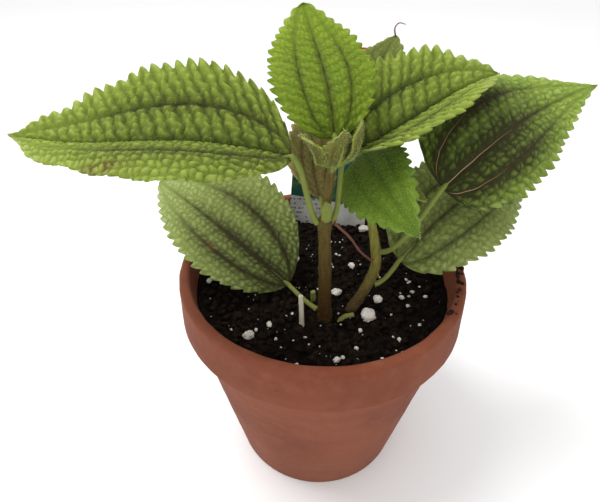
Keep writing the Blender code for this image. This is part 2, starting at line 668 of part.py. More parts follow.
def main():
    clear_scene()
    make_pot()
    soil = make_soil()
    make_label("plant_label", 0.0)
    cut_socket(soil, make_label("label_socket", TOUCH))
    make_rod("stem_left", LEFT_STEM, STEM_BROWN, STEM_SEGMENTS)
    make_rod("stem_right", RIGHT_STEM, STEM_BROWN, STEM_SEGMENTS)
    make_rod("runner_shoot", RUNNER_SHOOT, STALK_GREEN, TWIG_SEGMENTS)
    make_rod("cut_stub", CUT_STUB, STALK_GREEN, TWIG_SEGMENTS)
    make_rod("pale_stick", PALE_STICK, STICK_CREAM, TWIG_SEGMENTS)
    make_rod("dry_stalk", DRY_STALK, DRY_RED, TWIG_SEGMENTS)
    rooted = (LEFT_STEM, RIGHT_STEM, RUNNER_SHOOT, CUT_STUB, PALE_STICK)
    for number, points in enumerate(rooted, start=1):
        (x, y, height), radius = points[0]
        deeper = ((x, y, height - SOCKET_SPARE / MM), radius)
        path = (deeper, *points[1:SOCKET_STATIONS])
        vertices, faces = tube(path, STEM_SEGMENTS, TOUCH)
        name = "stem_socket_%d" % number
        cutter = add_part(name, vertices, faces, SOIL_BROWN, SOIL_ROUGHNESS)
        cut_socket(soil, cutter)
    bud_size = np.array(BUD_SIZE) * MM
    make_lump("node_bud", tuple(above_soil(BUD_CENTRE)), tuple(bud_size), STALK_GREEN, 2)
    for name, leaf in LEAVES.items():
        young = name.startswith(("crown", "tip", "leaf_centre", "leaf_front"))
        make_leaf(name, leaf, YOUNG_GREEN if young else LEAF_GREEN)
    make_perlite()


main()
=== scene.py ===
"""Looks of the potted pilea: quilted leaves, fuzzy stems, clay pot, soil and label."""

import math

import bpy
import numpy as np
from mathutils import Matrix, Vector


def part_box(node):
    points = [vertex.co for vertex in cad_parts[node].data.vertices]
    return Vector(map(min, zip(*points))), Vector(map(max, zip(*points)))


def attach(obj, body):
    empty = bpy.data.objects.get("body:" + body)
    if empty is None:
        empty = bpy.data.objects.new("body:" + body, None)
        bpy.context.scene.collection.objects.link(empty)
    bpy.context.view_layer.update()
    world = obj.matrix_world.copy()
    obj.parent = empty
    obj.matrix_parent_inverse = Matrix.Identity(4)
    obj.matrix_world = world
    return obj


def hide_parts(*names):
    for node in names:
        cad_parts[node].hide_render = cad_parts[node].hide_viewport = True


MM = 0.001

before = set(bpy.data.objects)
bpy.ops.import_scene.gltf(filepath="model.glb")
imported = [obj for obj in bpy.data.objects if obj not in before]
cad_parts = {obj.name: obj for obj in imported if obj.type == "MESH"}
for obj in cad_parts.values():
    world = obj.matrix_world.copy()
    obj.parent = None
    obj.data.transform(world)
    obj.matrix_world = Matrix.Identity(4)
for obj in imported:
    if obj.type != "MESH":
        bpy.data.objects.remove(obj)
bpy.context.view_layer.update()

# ---------------------------------------------------------------- measures
# Leaves, in the places of the frame's leaf nodes.  Teeth and a few widths differ from the
# plain leaves there, and the feet sit deeper in the stems.  Lengths in mm, angles in
# degrees, heights from the soil.
#   foot, out      where the stalk leaves the stem, and which way
#   base, tip      ends of the blade; left, right: half widths seen from the base
#   arch, bend, sweep, roll, rise, curl    how the blade curves, each half by itself
#   widest, taper  place of the greatest width and how the tip narrows
#   stalk          its radius; tooth, teeth: height and number of the saw teeth
#   rows, under    how plain the cross rows are; share of teeth and rows on the left half
#   quilt, cell, pitch    height of the pillows, size of the puckers, step of the rows
#   vein, reach, dark     thickness of the dark veins, how far from the midrib, strength
#   stain, blotch  how far the dark zone along the veins spreads, and its strength
#   core           strength of the pale line in the veins near the stalk
#   stain, stain_and_shade  how far the dark zone along the veins spreads, and its strength, which also sets
#   the painted shade at the foot of the blade
#   burn           a scorched spot: along, across, size
USUAL_LEAF = dict(
    bend=0.0, sweep=0.0, roll=0, widest=0.4, taper=0.95, stalk=0.85, rows=0.5, under=1.0,
    core=0.0, lobe=0.0, burn=None)
YOUNG_LEAF = dict(
    USUAL_LEAF, stalk=0.5, tooth=0.6, quilt=0.7, cell=0.9, pitch=1.6, vein=0.4, reach=0.8, stain=0.4,
    stain_and_shade=0.2, dark=0.3, look="fuzzy")
LEAVES = {
    "leaf_left_large": dict(
        USUAL_LEAF, foot=(-3.0, -20.8, 40.3), out=(-0.5, -0.2, 1.0), base=(-10.5, -24.0, 63.5),
        tip=(-91.5, -12.5, 65.0), left=18.2, right=20.5, arch=5.0, bend=2.0, sweep=-4.2, roll=20,
        rise=(30, 50), curl=(2, 70), widest=0.33, taper=1.15, tooth=2.4, teeth=25, rows=1.0,
        under=0.15, quilt=1.5, cell=2.1, pitch=3.8, vein=1.0, reach=4.6, stain=3.4, stain_and_shade=0.42,
        dark=1.0, core=0.12, lobe=3.0, burn=(44.0, -15.0, 5.0), look="quilted"),
    "leaf_centre_upright": dict(
        USUAL_LEAF, foot=(0.95, -20.1, 60.7), out=(0.0, 0.0, 1.0), base=(1.3, -19.4, 67.0),
        tip=(-7.3, 15.0, 94.1), left=14.2, right=13.0, arch=2.7, bend=1.5, sweep=0.6, roll=5,
        rise=(12, 11), curl=(21, 22), taper=0.8, stalk=0.8, tooth=1.9, teeth=16, rows=0.6,
        quilt=0.6, cell=1.3, pitch=3.2, vein=0.42, reach=1.8, stain=0.8, stain_and_shade=0.3, dark=0.9,
        look="bright"),
    "leaf_right_upper": dict(
        USUAL_LEAF, foot=(1.8, -19.9, 40.5), out=(0.45, 0.2, 1.0), base=(5.4, -13.3, 59.2),
        tip=(54.0, 11.0, 75.0), left=18.3, right=16.5, arch=2.0, bend=-1.0, sweep=0.8, roll=-14,
        rise=(36, 36), curl=(2, 2), widest=0.38, taper=1.0, tooth=2.6, teeth=16, rows=1.0,
        quilt=1.3, cell=2.0, pitch=4.4, vein=0.8, reach=3.2, stain=2.0, stain_and_shade=0.5, dark=0.8,
        look="quilted"),
    "leaf_right_large": dict(
        USUAL_LEAF, foot=(19.6, -11.0, 21.9), out=(0.5, -0.8, 0.5), base=(35.3, -13.8, 48.2),
        tip=(91.5, 20.0, 68.5), left=24.7, right=16.8, arch=4.5, bend=2.5, sweep=-3.8, roll=-44,
        rise=(13, 0), curl=(20, 38), widest=0.3, taper=1.15, tooth=2.3, teeth=19, rows=0.6,
        quilt=0.8, cell=2.2, pitch=4.4, vein=0.55, reach=3.5, stain=6.0, stain_and_shade=1.25, dark=1.0,
        core=0.9, look="wine"),
    "leaf_right_lower": dict(
        USUAL_LEAF, foot=(18.2, -13.5, 9.5), out=(0.8, 0.1, 0.1), base=(26.4, -10.6, 17.8),
        tip=(71.7, 22.5, 38.7), left=18.2, right=18.3, arch=9.7, bend=3.0, sweep=1.0, roll=-19,
        rise=(5, 15), curl=(31, 16), widest=0.41, taper=0.7, tooth=1.9, teeth=18, rows=0.45,
        quilt=0.65, cell=2.2, pitch=4.2, vein=0.65, reach=3.0, stain=2.6, stain_and_shade=0.45, dark=0.8,
        look="soft"),
    "leaf_left_lower": dict(
        USUAL_LEAF, foot=(-2.2, -18.8, 2.4), out=(-0.8, 0.5, 0.2), base=(-12.7, -7.2, 4.1),
        tip=(-64.0, 27.0, 28.2), left=16.0, right=23.5, arch=12.5, sweep=-1.0, roll=30,
        rise=(15, 15), curl=(17, 16), widest=0.39, tooth=1.6, teeth=18, rows=0.35, quilt=0.6,
        cell=2.0, pitch=4.4, vein=0.7, reach=3.0, stain=3.6, stain_and_shade=0.95, dark=0.95,
        burn=(28.0, -7.5, 2.2), look="soft"),
    "leaf_front_drooping": dict(
        USUAL_LEAF, foot=(14.6, -4.0, 42.5), out=(-0.1, 0.3, 1.0), base=(13.2, 4.0, 52.1),
        tip=(25.5, -31.9, 42.7), left=9.5, right=13.0, arch=7.0, bend=-0.5, sweep=-1.0, roll=-45,
        rise=(14, 12), curl=(15, 15), taper=1.0, stalk=0.8, tooth=1.6, teeth=13, quilt=0.2,
        cell=1.2, pitch=2.6, vein=0.5, reach=1.0, stain=0.5, stain_and_shade=0.0, dark=0.05,
        look="velvet"),
    "leaf_back_small": dict(
        USUAL_LEAF, foot=(1.0, -18.9, 58.1), out=(0.1, 0.9, 0.1), base=(8.2, 7.4, 66.5),
        tip=(23.2, 24.8, 83.0), left=8.8, right=9.6, arch=0.4, sweep=0.4, roll=-2, rise=(14, 14),
        curl=(18, 18), stalk=0.7, tooth=1.2, teeth=11, quilt=0.6, cell=1.4, pitch=2.6, vein=0.6,
        reach=1.5, stain=1.0, stain_and_shade=0.4, dark=0.5, look="shade"),
    "leaf_back_shoot": dict(
        USUAL_LEAF, foot=(-0.8, -18.0, 40.3), out=(0.0, 1.0, 0.1), base=(-1.6, -10.6, 42.5),
        tip=(-6.0, 12.5, 62.5), left=10.5, right=9.0, arch=1.2, bend=-0.9, sweep=-1.2, roll=-30,
        rise=(13, 15), curl=(20, 16), widest=0.42, taper=0.92, stalk=0.7, tooth=1.0, teeth=10,
        quilt=0.5, cell=1.2, pitch=2.4, vein=0.6, reach=1.2, stain=1.0, stain_and_shade=0.5, dark=0.4,
        look="brown"),
    "crown_leaf_right": dict(
        YOUNG_LEAF, foot=(1.6, -20.8, 59.3), out=(0.8, -0.4, 0.5), base=(5.0, -23.3, 62.5),
        tip=(7.5, -22.5, 73.5), left=4.6, right=4.6, arch=-1.2, roll=30, rise=(20, 20),
        curl=(10, 10), taper=1.0, tooth=0.8, teeth=8),
    "crown_leaf_front": dict(
        YOUNG_LEAF, foot=(0.9, -21.0, 58.1), out=(0.1, -0.9, 0.4), base=(1.4, -25.0, 61.7),
        tip=(3.0, -27.2, 72.5), left=4.6, right=4.6, arch=-1.0, roll=10, rise=(22, 22),
        curl=(10, 10), widest=0.38, taper=1.0, tooth=0.8, teeth=8),
    "crown_leaf_left": dict(
        YOUNG_LEAF, foot=(0.0, -20.7, 59.1), out=(-0.8, -0.4, 0.4), base=(-3.0, -23.2, 61.5),
        tip=(-8.0, -25.4, 70.5), left=4.6, right=4.6, arch=1.0, rise=(15, 15), curl=(10, 10),
        taper=1.0, tooth=0.8, teeth=7),
    "tip_leaf_back": dict(
        YOUNG_LEAF, foot=(14.8, -3.0, 40.9), out=(0.1, 0.9, 0.1), base=(15.6, 2.4, 42.1),
        tip=(19.0, 21.0, 41.5), left=6.0, right=6.0, arch=1.6, rise=(16, 16), curl=(18, 18),
        stalk=0.6, teeth=9),
    "tip_leaf_front": dict(
        YOUNG_LEAF, foot=(15.1, -5.6, 40.3), out=(0.4, -0.8, 0.1), base=(17.4, -9.4, 43.1),
        tip=(30.0, -17.0, 46.1), left=4.6, right=4.6, arch=1.4, rise=(18, 18), curl=(18, 18),
        stalk=0.6, teeth=9),
}
LEAF_THICKNESS = 0.45 * MM
HAIR_RADIUS = 0.045 * MM
LEAF_STEP = 0.45  # mm between the points of a leaf's surface
TOOTH_LEAN = 0.76  # share of a tooth's length before its tip
LATERAL_VEIN = 0.5  # where the side veins run, from midrib to margin
BLADE_END = 0.3  # mm of half width left at the two ends
LOBE_PLACE = 0.84  # share of the length
LOBE_SIZE = 0.1
TOOTHED_FROM = 0.86  # share of the half width
LEFT_PHASE = 0.4  # how much further on the left half's teeth stand
TOOTH_SINK = 0.25  # share of a tooth that lies inside the outline
TOOTH_FORWARD = 0.24  # how far a tooth points ahead, as a share of the pitch
MARGIN_WAVE = 0.5  # mm
MID_WANDER = 0.15  # how far the veins follow the unevenness of the blade
LATERAL_WANDER = 0.25
INNER_SLANT = 0.28  # slant of the cross rows inside and outside the side veins
OUTER_SLANT = 0.62
INNER_BOW = 0.02
LEFT_ROW_SHIFT = 0.45  # share of the pitch
# Where along the blade each of these has faded away, and over which share of it.
MID_FADE = (0.9, 0.3)
LATERAL_FADE = (0.74, 0.25)
STAIN_FADE = (0.72, 0.35)
MID_CORE_FADE = (0.42, 0.3)
LATERAL_CORE_FADE = (0.28, 0.22)
FOOT_SHADE = 0.27  # share of the length that the painted shade at the foot of the blade covers
STALK_LEAVES = 0.35  # how straight the stalk leaves the stem and meets the blade
STALK_ARRIVES = 0.15
RIB_END = 0.9  # share of the length

# Stems and twigs: points along the middle and radius there (mm).
STEMS = {
    "stem_left": (
        ((0.6, -20.1, -6.5), 3.0), ((0.6, -20.1, -0.5), 3.1), ((0.5, -20.1, 2.5), 2.5),
        ((0.3, -20.1, 9.5), 2.2), ((0.0, -20.1, 23.5), 2.1), ((-0.6, -20.1, 36.0), 2.0),
        ((-0.7, -20.1, 39.8), 2.5), ((-0.6, -20.1, 42.7), 1.5), ((0.2, -20.1, 51.5), 1.3),
        ((0.9, -20.1, 61.5), 1.2)),
    "stem_right": (
        ((8.9, -17.5, -6.5), 1.9), ((10.0, -17.0, 0.1), 2.1), ((13.2, -15.4, 5.5), 1.9),
        ((16.4, -13.4, 11.2), 1.9), ((18.2, -11.4, 17.7), 1.8), ((17.6, -9.6, 23.5), 1.7),
        ((16.2, -7.6, 30.5), 1.5), ((15.2, -5.6, 37.1), 1.4), ((14.6, -4.0, 42.9), 1.2)),
    "runner_shoot": (
        ((4.9, -22.4, -4.5), 0.8), ((5.2, -22.6, -0.5), 0.9), ((7.4, -22.2, 2.1), 0.9),
        ((10.6, -22.0, 2.9), 0.8)),
    "cut_stub": (
        ((-3.2, -12.9, -4.5), 1.0), ((-3.2, -12.9, 0.0), 1.1), ((-3.5, -13.0, 5.5), 0.9)),
    "pale_stick": (
        ((-7.5, -24.2, -4.5), 0.9), ((-7.5, -24.2, 0.0), 0.9), ((-7.9, -23.6, 13.0), 0.8)),
    "dry_stalk": (
        ((2.2, -21.6, 40.7), 0.5), ((7.5, -19.2, 33.7), 0.4), ((11.5, -16.2, 26.1), 0.4),
        ((16.6, -12.0, 18.7), 0.45)),
}

# Pot, from the frame: its box gives height and rim; the rest is the clay's own shape.
pot_low, pot_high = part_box("pot")
POT_HEIGHT = pot_high[2]
BAND_FOOT_RADIUS = (pot_high[1] - pot_low[1]) / 2
BAND_TOP_RADIUS = BAND_FOOT_RADIUS - 0.7 * MM
BAND_HEIGHT = 17.6 * MM
POT_FOOT_RADIUS = 36.4 * MM
POT_NECK_RADIUS = BAND_FOOT_RADIUS - 3.4 * MM
LIP_RADIUS = BAND_TOP_RADIUS - 4.0 * MM
FLOOR_THICKNESS = 5.5 * MM
CLAY_EDGE = 1.0 * MM  # rounding of the foot and the band's lower edge
LIP_EDGE = 1.6 * MM  # rounding of the rim
FLOOR_RADIUS = POT_FOOT_RADIUS - 4.9 * MM
DRAIN_RADIUS = 6.0 * MM
SOIL_TOP = POT_HEIGHT - 9.0 * MM

# Camera
CAMERA_PLACE = (-8.15 * MM, -141.2 * MM, 204.7 * MM)
CAMERA_TILT = 53.05
LENS = 28.61
SENSOR = 36.0


# ---------------------------------------------------------------- materials
def colour(red, green, blue):
    """Linear colour from everyday 0-255 values."""
    values = []
    for part in (red, green, blue):
        part = part / 255
        values.append(part / 12.92 if part <= 0.04045 else ((part + 0.055) / 1.055) ** 2.4)
    return (*values, 1.0)


class Paint:
    """A material being put together: its shader, nodes and links."""

    def __init__(self, name, roughness=0.7):
        self.material = bpy.data.materials.new(name)
        self.material.use_nodes = True
        self.tree = self.material.node_tree
        self.shader = self.tree.nodes["Principled BSDF"]
        self.shader.inputs["Roughness"].default_value = roughness
        self.place = self.add("ShaderNodeTexCoord").outputs["Object"]

    def add(self, kind):
        return self.tree.nodes.new(kind)

    def join(self, source, target):
        self.tree.links.new(source, target)

    def noise(self, scale, detail=3.0, stretch=None):
        """Noise from 0 to 1, scale in patches per metre."""
        node = self.add("ShaderNodeTexNoise")
        node.inputs["Scale"].default_value = scale
        node.inputs["Detail"].default_value = detail
        if stretch:
            mapping = self.add("ShaderNodeMapping")
            mapping.inputs["Scale"].default_value = stretch
            self.join(self.place, mapping.inputs["Vector"])
            self.join(mapping.outputs["Vector"], node.inputs["Vector"])
        else:
            self.join(self.place, node.inputs["Vector"])
        return node.outputs["Fac"]

    def ramp(self, value, low, high, to_low=0.0, to_high=1.0):
        """Stretch a value from low..high onto to_low..to_high, clamped."""
        node = self.add("ShaderNodeMapRange")
        node.inputs["From Min"].default_value = low
        node.inputs["From Max"].default_value = high
        node.inputs["To Min"].default_value = to_low
        node.inputs["To Max"].default_value = to_high
        self.join(value, node.inputs["Value"])
        return node.outputs["Result"]

    def mix(self, share, first, second):
        """Colour first where share is 0, second where it is 1."""
        node = self.add("ShaderNodeMix")
        node.data_type = "RGBA"
        for value, socket in ((share, 0), (first, 6), (second, 7)):
            if isinstance(value, (tuple, float)):
                node.inputs[socket].default_value = value
            else:
                self.join(value, node.inputs[socket])
        return node.outputs[2]

    def math(self, what, first, second=0.0):
        node = self.add("ShaderNodeMath")
        node.operation = what
        for value, socket in ((first, 0), (second, 1)):
            if isinstance(value, float):
                node.inputs[socket].default_value = value
            else:
                self.join(value, node.inputs[socket])
        return node.outputs[0]

    def times(self, first, second):
        return self.math("MULTIPLY", first, second)

    def parts(self, name):
        """Red, green, blue and alpha of a colour attribute."""
        node = self.add("ShaderNodeAttribute")
        node.attribute_name = name
        split = self.add("ShaderNodeSeparateColor")
        self.join(node.outputs["Color"], split.inputs["Color"])
        return split.outputs["Red"], split.outputs["Green"], split.outputs["Blue"], node.outputs["Alpha"]

    def axes(self):
        split = self.add("ShaderNodeSeparateXYZ")
        self.join(self.place, split.inputs["Vector"])
        return split.outputs["X"], split.outputs["Y"], split.outputs["Z"]

    def setting(self, title, value):
        self.shader.inputs[title].default_value = value

    def flesh(self, share, depth, tint=None):
        """Let some light through, as leaves and stems do."""
        self.setting("Subsurface Weight", share)
        self.setting("Subsurface Scale", depth)
        if tint:
            self.setting("Subsurface Radius", tint)

    def bump(self, height, distance, strength=1.0):
        node = self.add("ShaderNodeBump")
        node.inputs["Distance"].default_value = distance
        node.inputs["Strength"].default_value = strength
        self.join(height, node.inputs["Height"])
        self.join(node.outputs["Normal"], self.shader.inputs["Normal"])

    def finish(self, base, rough=None):
        self.join(base, self.shader.inputs["Base Color"])
        if rough is not None:
            self.join(rough, self.shader.inputs["Roughness"])
        return self.material


LEAF_GLOW = (0.7, 1.0, 0.25)
LEAF_GLOW_DEPTH = 1.2 * MM
SCORCH = colour(88, 66, 38)
VEIN_CORE = colour(182, 150, 112)


def brighter(tone, *factors):
    """A linear colour times one factor, or one for each of red, green and blue."""
    if len(factors) == 1:
        factors = factors * 3
    return (*(part * factor for part, factor in zip(tone, factors)), 1.0)


def leaf_top_material(name, light, valley_shade, vein, stain, rough, fuzz):
    """Upper side of a leaf: painted light on the domes with a paler painted highlight on the highest crests
    and at the pale tips, painted shade in the valleys, dark veins, and dark patches of stain that also
    carry painted shade in the valleys and at the foot of the blade.
    """
    paint = Paint(name)
    dark, dome, stain_and_shade, burn = paint.parts("relief")
    mid, lateral, mid_core, lateral_core = paint.parts("veins")
    mottle = paint.noise(260.0, 4.0)
    fine = paint.noise(2600.0, 3.0)
    warm = brighter(light, 1.18)
    # colour of the painted highlight on the highest crests, also used for the pale tips
    pale = brighter(light, 1.45, 1.35, 2.9)
    # painted light on the domes and painted shade in the valleys, mixed with random mottle
    crest = paint.math("ADD", paint.times(dome, 0.8), paint.times(mottle, 0.35))
    base = paint.mix(paint.ramp(crest, 0.15, 0.95), valley_shade, light)
    base = paint.mix(paint.ramp(crest, 0.85, 1.4, 0.0, 0.9), base, pale)
    base = paint.mix(paint.ramp(fine, 0.45, 0.75, 0.0, fuzz), base, warm)
    # dark zone along the veins, with painted shade in the valleys and at the foot of the blade
    base = paint.mix(stain_and_shade, base, stain)
    mid = paint.math("ABSOLUTE", mid)
    lateral = paint.math("ABSOLUTE", lateral)
    mid_line = paint.ramp(mid, 0.15, 0.55, 1.0, 0.0)
    lateral_line = paint.ramp(lateral, 0.1, 0.45, 1.0, 0.0)
    line = paint.times(paint.math("MAXIMUM", mid_line, lateral_line), dark)
    line = paint.times(line, paint.ramp(mottle, 0.35, 0.6, 0.25, 0.75))
    base = paint.mix(paint.times(burn, paint.ramp(mottle, 0.4, 0.6)), base, SCORCH)
    base = paint.mix(paint.times(dark, 0.86), base, vein)
    base = paint.mix(line, base, vein)
    core = paint.times(paint.ramp(mid, 0.05, 0.2, 1.0, 0.0), mid_core)
    side_core = paint.times(paint.ramp(lateral, 0.02, 0.16, 1.0, 0.0), lateral_core)
    base = paint.mix(paint.math("MAXIMUM", core, side_core), base, VEIN_CORE)
    paint.flesh(0.18, LEAF_GLOW_DEPTH, LEAF_GLOW)
    paint.setting("Sheen Weight", 0.03)
    paint.setting("Specular IOR Level", 0.07)
    paint.bump(fine, 0.3 * MM * fuzz, 0.6)
    return paint.finish(base, paint.ramp(mottle, 0.3, 0.7, rough - 0.08, rough + 0.1))


def leaf_under_material(name, pale, vein):
    """Underside of a leaf: paler, with raised greenish veins."""
    paint = Paint(name)
    dark = paint.parts("relief")[0]
    mottle = paint.noise(400.0, 4.0)
    base = paint.mix(paint.ramp(mottle, 0.3, 0.7, 0.0, 0.6), pale, brighter(pale, 0.8))
    base = paint.mix(paint.times(dark, 0.7), base, vein)
    paint.flesh(0.15, LEAF_GLOW_DEPTH, LEAF_GLOW)
    paint.setting("Sheen Weight", 0.06)
    paint.bump(paint.noise(2000.0, 3.0), 0.15 * MM, 0.6)
    return paint.finish(base, paint.ramp(mottle, 0.3, 0.7, 0.6, 0.8))


def stem_material(name, low_colour, high_colour, low, high, streaks=0.5):
    """Fleshy stem: changes colour from low to high (m above the table), streaked."""
    paint = Paint(name)
    up = paint.axes()[2]
    grain = paint.noise(900.0, 4.0, (1.0, 1.0, 0.18))
    speck = paint.noise(1800.0, 2.0)
    base = paint.mix(paint.ramp(up, low, high), low_colour, high_colour)
    shade = brighter(low_colour, 0.55)
    base = paint.mix(paint.ramp(grain, 0.4, 0.75, 0.0, streaks), base, shade)
    base = paint.mix(paint.ramp(speck, 0.6, 0.8, 0.0, 0.35), base, brighter(high_colour, 1.5))
    paint.setting("Specular IOR Level", 0.15)
    paint.flesh(0.1, 1.0 * MM)
    paint.bump(grain, 0.3 * MM, 0.7)
    return paint.finish(base, paint.ramp(speck, 0.3, 0.7, 0.45, 0.7))


def clay_material():
    """Fired clay: warm, mottled, with pale bloom, paler low down, and specks."""
    paint = Paint("terracotta_clay")
    up = paint.axes()[2]
    cloud = paint.noise(28.0, 5.0)
    mottle = paint.noise(170.0, 5.0)
    grit = paint.noise(1500.0, 3.0)
    rings = paint.noise(60.0, 4.0, (0.12, 0.12, 3.2))
    base = paint.mix(paint.ramp(cloud, 0.4, 0.6), colour(110, 53, 30), colour(124, 66, 41))
    base = paint.mix(paint.ramp(mottle, 0.48, 0.7, 0.0, 0.45), base, colour(134, 84, 63))
    base = paint.mix(paint.ramp(rings, 0.42, 0.66, 0.0, 0.3), base, colour(104, 54, 37))
    base = paint.mix(paint.ramp(up, 0.0, 0.035, 0.22, 0.0), base, colour(142, 98, 80))
    base = paint.mix(paint.ramp(grit, 0.66, 0.74, 0.0, 0.45), base, colour(88, 50, 38))
    base = paint.mix(paint.ramp(paint.noise(420.0, 1.0), 0.78, 0.81, 0.0, 0.8), base, colour(66, 32, 22))
    paint.setting("Specular IOR Level", 0.3)
    height = paint.math("ADD", paint.times(rings, 0.8), paint.times(grit, 0.5))
    paint.bump(height, 0.35 * MM, 0.55)
    return paint.finish(base, paint.ramp(mottle, 0.3, 0.7, 0.72, 0.92))


def soil_material(name, dark, brown, fleck):
    paint = Paint(name)
    clods = paint.noise(420.0, 6.0)
    fine = paint.noise(2400.0, 4.0)
    base = paint.mix(paint.ramp(clods, 0.35, 0.7), dark, brown)
    base = paint.mix(paint.ramp(fine, 0.66, 0.76, 0.0, 0.5), base, fleck)
    paint.setting("Specular IOR Level", 0.06)
    height = paint.math("ADD", clods, paint.times(fine, 0.6))
    paint.bump(height, 1.4 * MM, 1.0)
    return paint.finish(base, paint.ramp(fine, 0.3, 0.7, 0.6, 0.95))


def perlite_material():
    paint = Paint("perlite_glassy_white")
    pits = paint.add("ShaderNodeTexVoronoi")
    pits.inputs["Scale"].default_value = 1500.0
    paint.join(paint.place, pits.inputs["Vector"])
    cloud = paint.noise(500.0, 4.0)
    base = paint.mix(paint.ramp(cloud, 0.35, 0.65), colour(196, 188, 176), colour(226, 221, 212))
    # painted shade: the hollows of the pits are coloured darker
    base = paint.mix(paint.ramp(pits.outputs["Distance"], 0.0, 0.25, 0.45, 0.0), base, colour(120, 108, 94))
    paint.bump(pits.outputs["Distance"], 0.35 * MM, 0.8)
    return paint.finish(base, paint.ramp(cloud, 0.3, 0.7, 0.7, 0.95))


def label_material():
    """Printed plastic: a green picture field, a red patch near the top, grey below."""
    paint = Paint("label_print")
    across, _, up = paint.axes()
    slope = paint.math("ADD", up, paint.times(across, 0.14))
    field = paint.math("GREATER_THAN", slope, 97.3 * MM)
    leafy = paint.noise(330.0, 3.0)
    green = paint.mix(paint.ramp(leafy, 0.4, 0.6), colour(36, 66, 44), colour(70, 112, 66))
    teal = paint.mix(paint.ramp(leafy, 0.52, 0.56), colour(30, 84, 74), green)
    warm = paint.mix(paint.ramp(leafy, 0.35, 0.65), colour(196, 84, 40), colour(150, 56, 34))
    picture = paint.mix(paint.math("GREATER_THAN", up, 153.5 * MM), teal, warm)
    grime = paint.noise(120.0, 5.0)
    paper = paint.mix(paint.ramp(grime, 0.35, 0.7), colour(222, 222, 218), colour(186, 185, 180))
    line = paint.math("LESS_THAN", paint.math("FRACT", paint.math("DIVIDE", up, 2.3 * MM)), 0.42)
    words = paint.math("GREATER_THAN", paint.noise(900.0, 1.0, (1.0, 0.0, 0.3)), 0.5)
    block = paint.math("GREATER_THAN", paint.noise(60.0, 1.0), 0.47)
    marks = paint.times(paint.times(line, words), block)
    paper = paint.mix(paint.times(marks, 0.75), paper, colour(70, 72, 78))
    printed = paint.mix(field, paper, picture)
    paint.bump(paint.noise(700.0, 2.0), 0.05 * MM, 0.3)
    return paint.finish(printed, paint.ramp(grime, 0.3, 0.7, 0.35, 0.55))


# Colours of each look: lit domes, valleys in painted shade, veins and stain above (the stain colour also
# paints the shade at the foot of the blade), leaf and veins below.
LOOK_COLOURS = {
    "quilted": (((130, 145, 58), (66, 82, 27), (38, 26, 20), (34, 36, 18)),
                ((124, 134, 90), (88, 100, 62))),
    "wine": (((128, 148, 62), (78, 98, 36), (50, 32, 20), (42, 44, 22)),
             ((124, 134, 90), (88, 100, 62))),
    "soft": (((134, 146, 80), (92, 104, 52), (54, 38, 24), (42, 44, 24)),
             ((124, 134, 90), (88, 100, 62))),
    "bright": (((114, 134, 36), (62, 84, 16), (48, 32, 12), (58, 66, 24)),
               ((118, 130, 74), (88, 102, 50))),
    "velvet": (((96, 120, 38), (56, 78, 18), (40, 36, 18), (58, 66, 24)),
               ((92, 106, 52), (70, 84, 38))),
    "fuzzy": (((126, 134, 58), (72, 72, 30), (60, 44, 26), (84, 66, 36)),
              ((118, 122, 60), (78, 74, 34), (60, 44, 26), (84, 66, 36))),
    "brown": (((150, 140, 84), (104, 92, 50), (70, 48, 30), (98, 74, 44)),
              ((130, 120, 80), (96, 84, 52))),
    "shade": (((104, 112, 50), (62, 74, 30), (48, 36, 26), (58, 48, 30)),
              ((98, 98, 66), (76, 70, 44))),
}
HAIRY_LOOKS = ("velvet", "fuzzy", "brown")
SMOOTH_COAT = (0.62, 0.5)  # roughness and strength of the fine grain
HAIRY_COAT = (0.8, 0.9)


def make_look(name):
    """Upper and lower material of a look; a fuzzy leaf has the same skin below."""
    above, below = ([colour(*tone) for tone in side] for side in LOOK_COLOURS[name])
    coat = HAIRY_COAT if name in HAIRY_LOOKS else SMOOTH_COAT
    top = leaf_top_material("leaf_%s_top" % name, *above, *coat)
    if name == "fuzzy":
        return top, leaf_top_material("leaf_fuzzy_under", *below, *coat)
    return top, leaf_under_material("leaf_%s_under" % name, *below)


LOOKS = {name: make_look(name) for name in LOOK_COLOURS}
STALK = stem_material("stalk_fuzzy_green", colour(118, 122, 62), colour(116, 130, 56), 0.085, 0.15, 0.25)
STEM = stem_material("stem_brown_to_green", colour(60, 38, 16), colour(92, 80, 34), 0.088, 0.128)
STEM_OLIVE = stem_material("stem_olive", colour(70, 54, 26), colour(142, 138, 62), 0.09, 0.115)
DRY = stem_material("dry_stalk_reddish", colour(118, 76, 66), colour(108, 70, 60), 0.10, 0.13)
STICK = stem_material("pale_bare_stick", colour(196, 190, 166), colour(206, 201, 180), 0.085, 0.10)
HAIR = stem_material("hair_pale", colour(168, 176, 116), colour(176, 184, 124), 0.09, 0.17, 0.1)
CLAY = clay_material()
SOIL = soil_material("soil_damp", colour(9, 7, 6), colour(28, 21, 17), colour(84, 68, 52))
CRUMB = soil_material("soil_crumbs", colour(12, 9, 7), colour(44, 32, 24), colour(110, 90, 66))
RIM_CRUMB = soil_material("soil_crumbs_dry", colour(34, 24, 18), colour(66, 46, 34), colour(120, 96, 72))
PERLITE_WHITE = perlite_material()
LABEL = label_material()


# ---------------------------------------------------------------- making pieces
def choose(*pieces):
    """Select only these pieces, the last one active."""
    bpy.ops.object.select_all(action="DESELECT")
    for piece in pieces:
        piece.select_set(True)
        bpy.context.view_layer.objects.active = piece


def face_out():
    """Turn all faces of the mesh being edited outwards, and stop editing."""
    bpy.ops.mesh.select_all(action="SELECT")
    bpy.ops.mesh.normals_make_consistent(inside=False)
    bpy.ops.object.mode_set(mode="OBJECT")


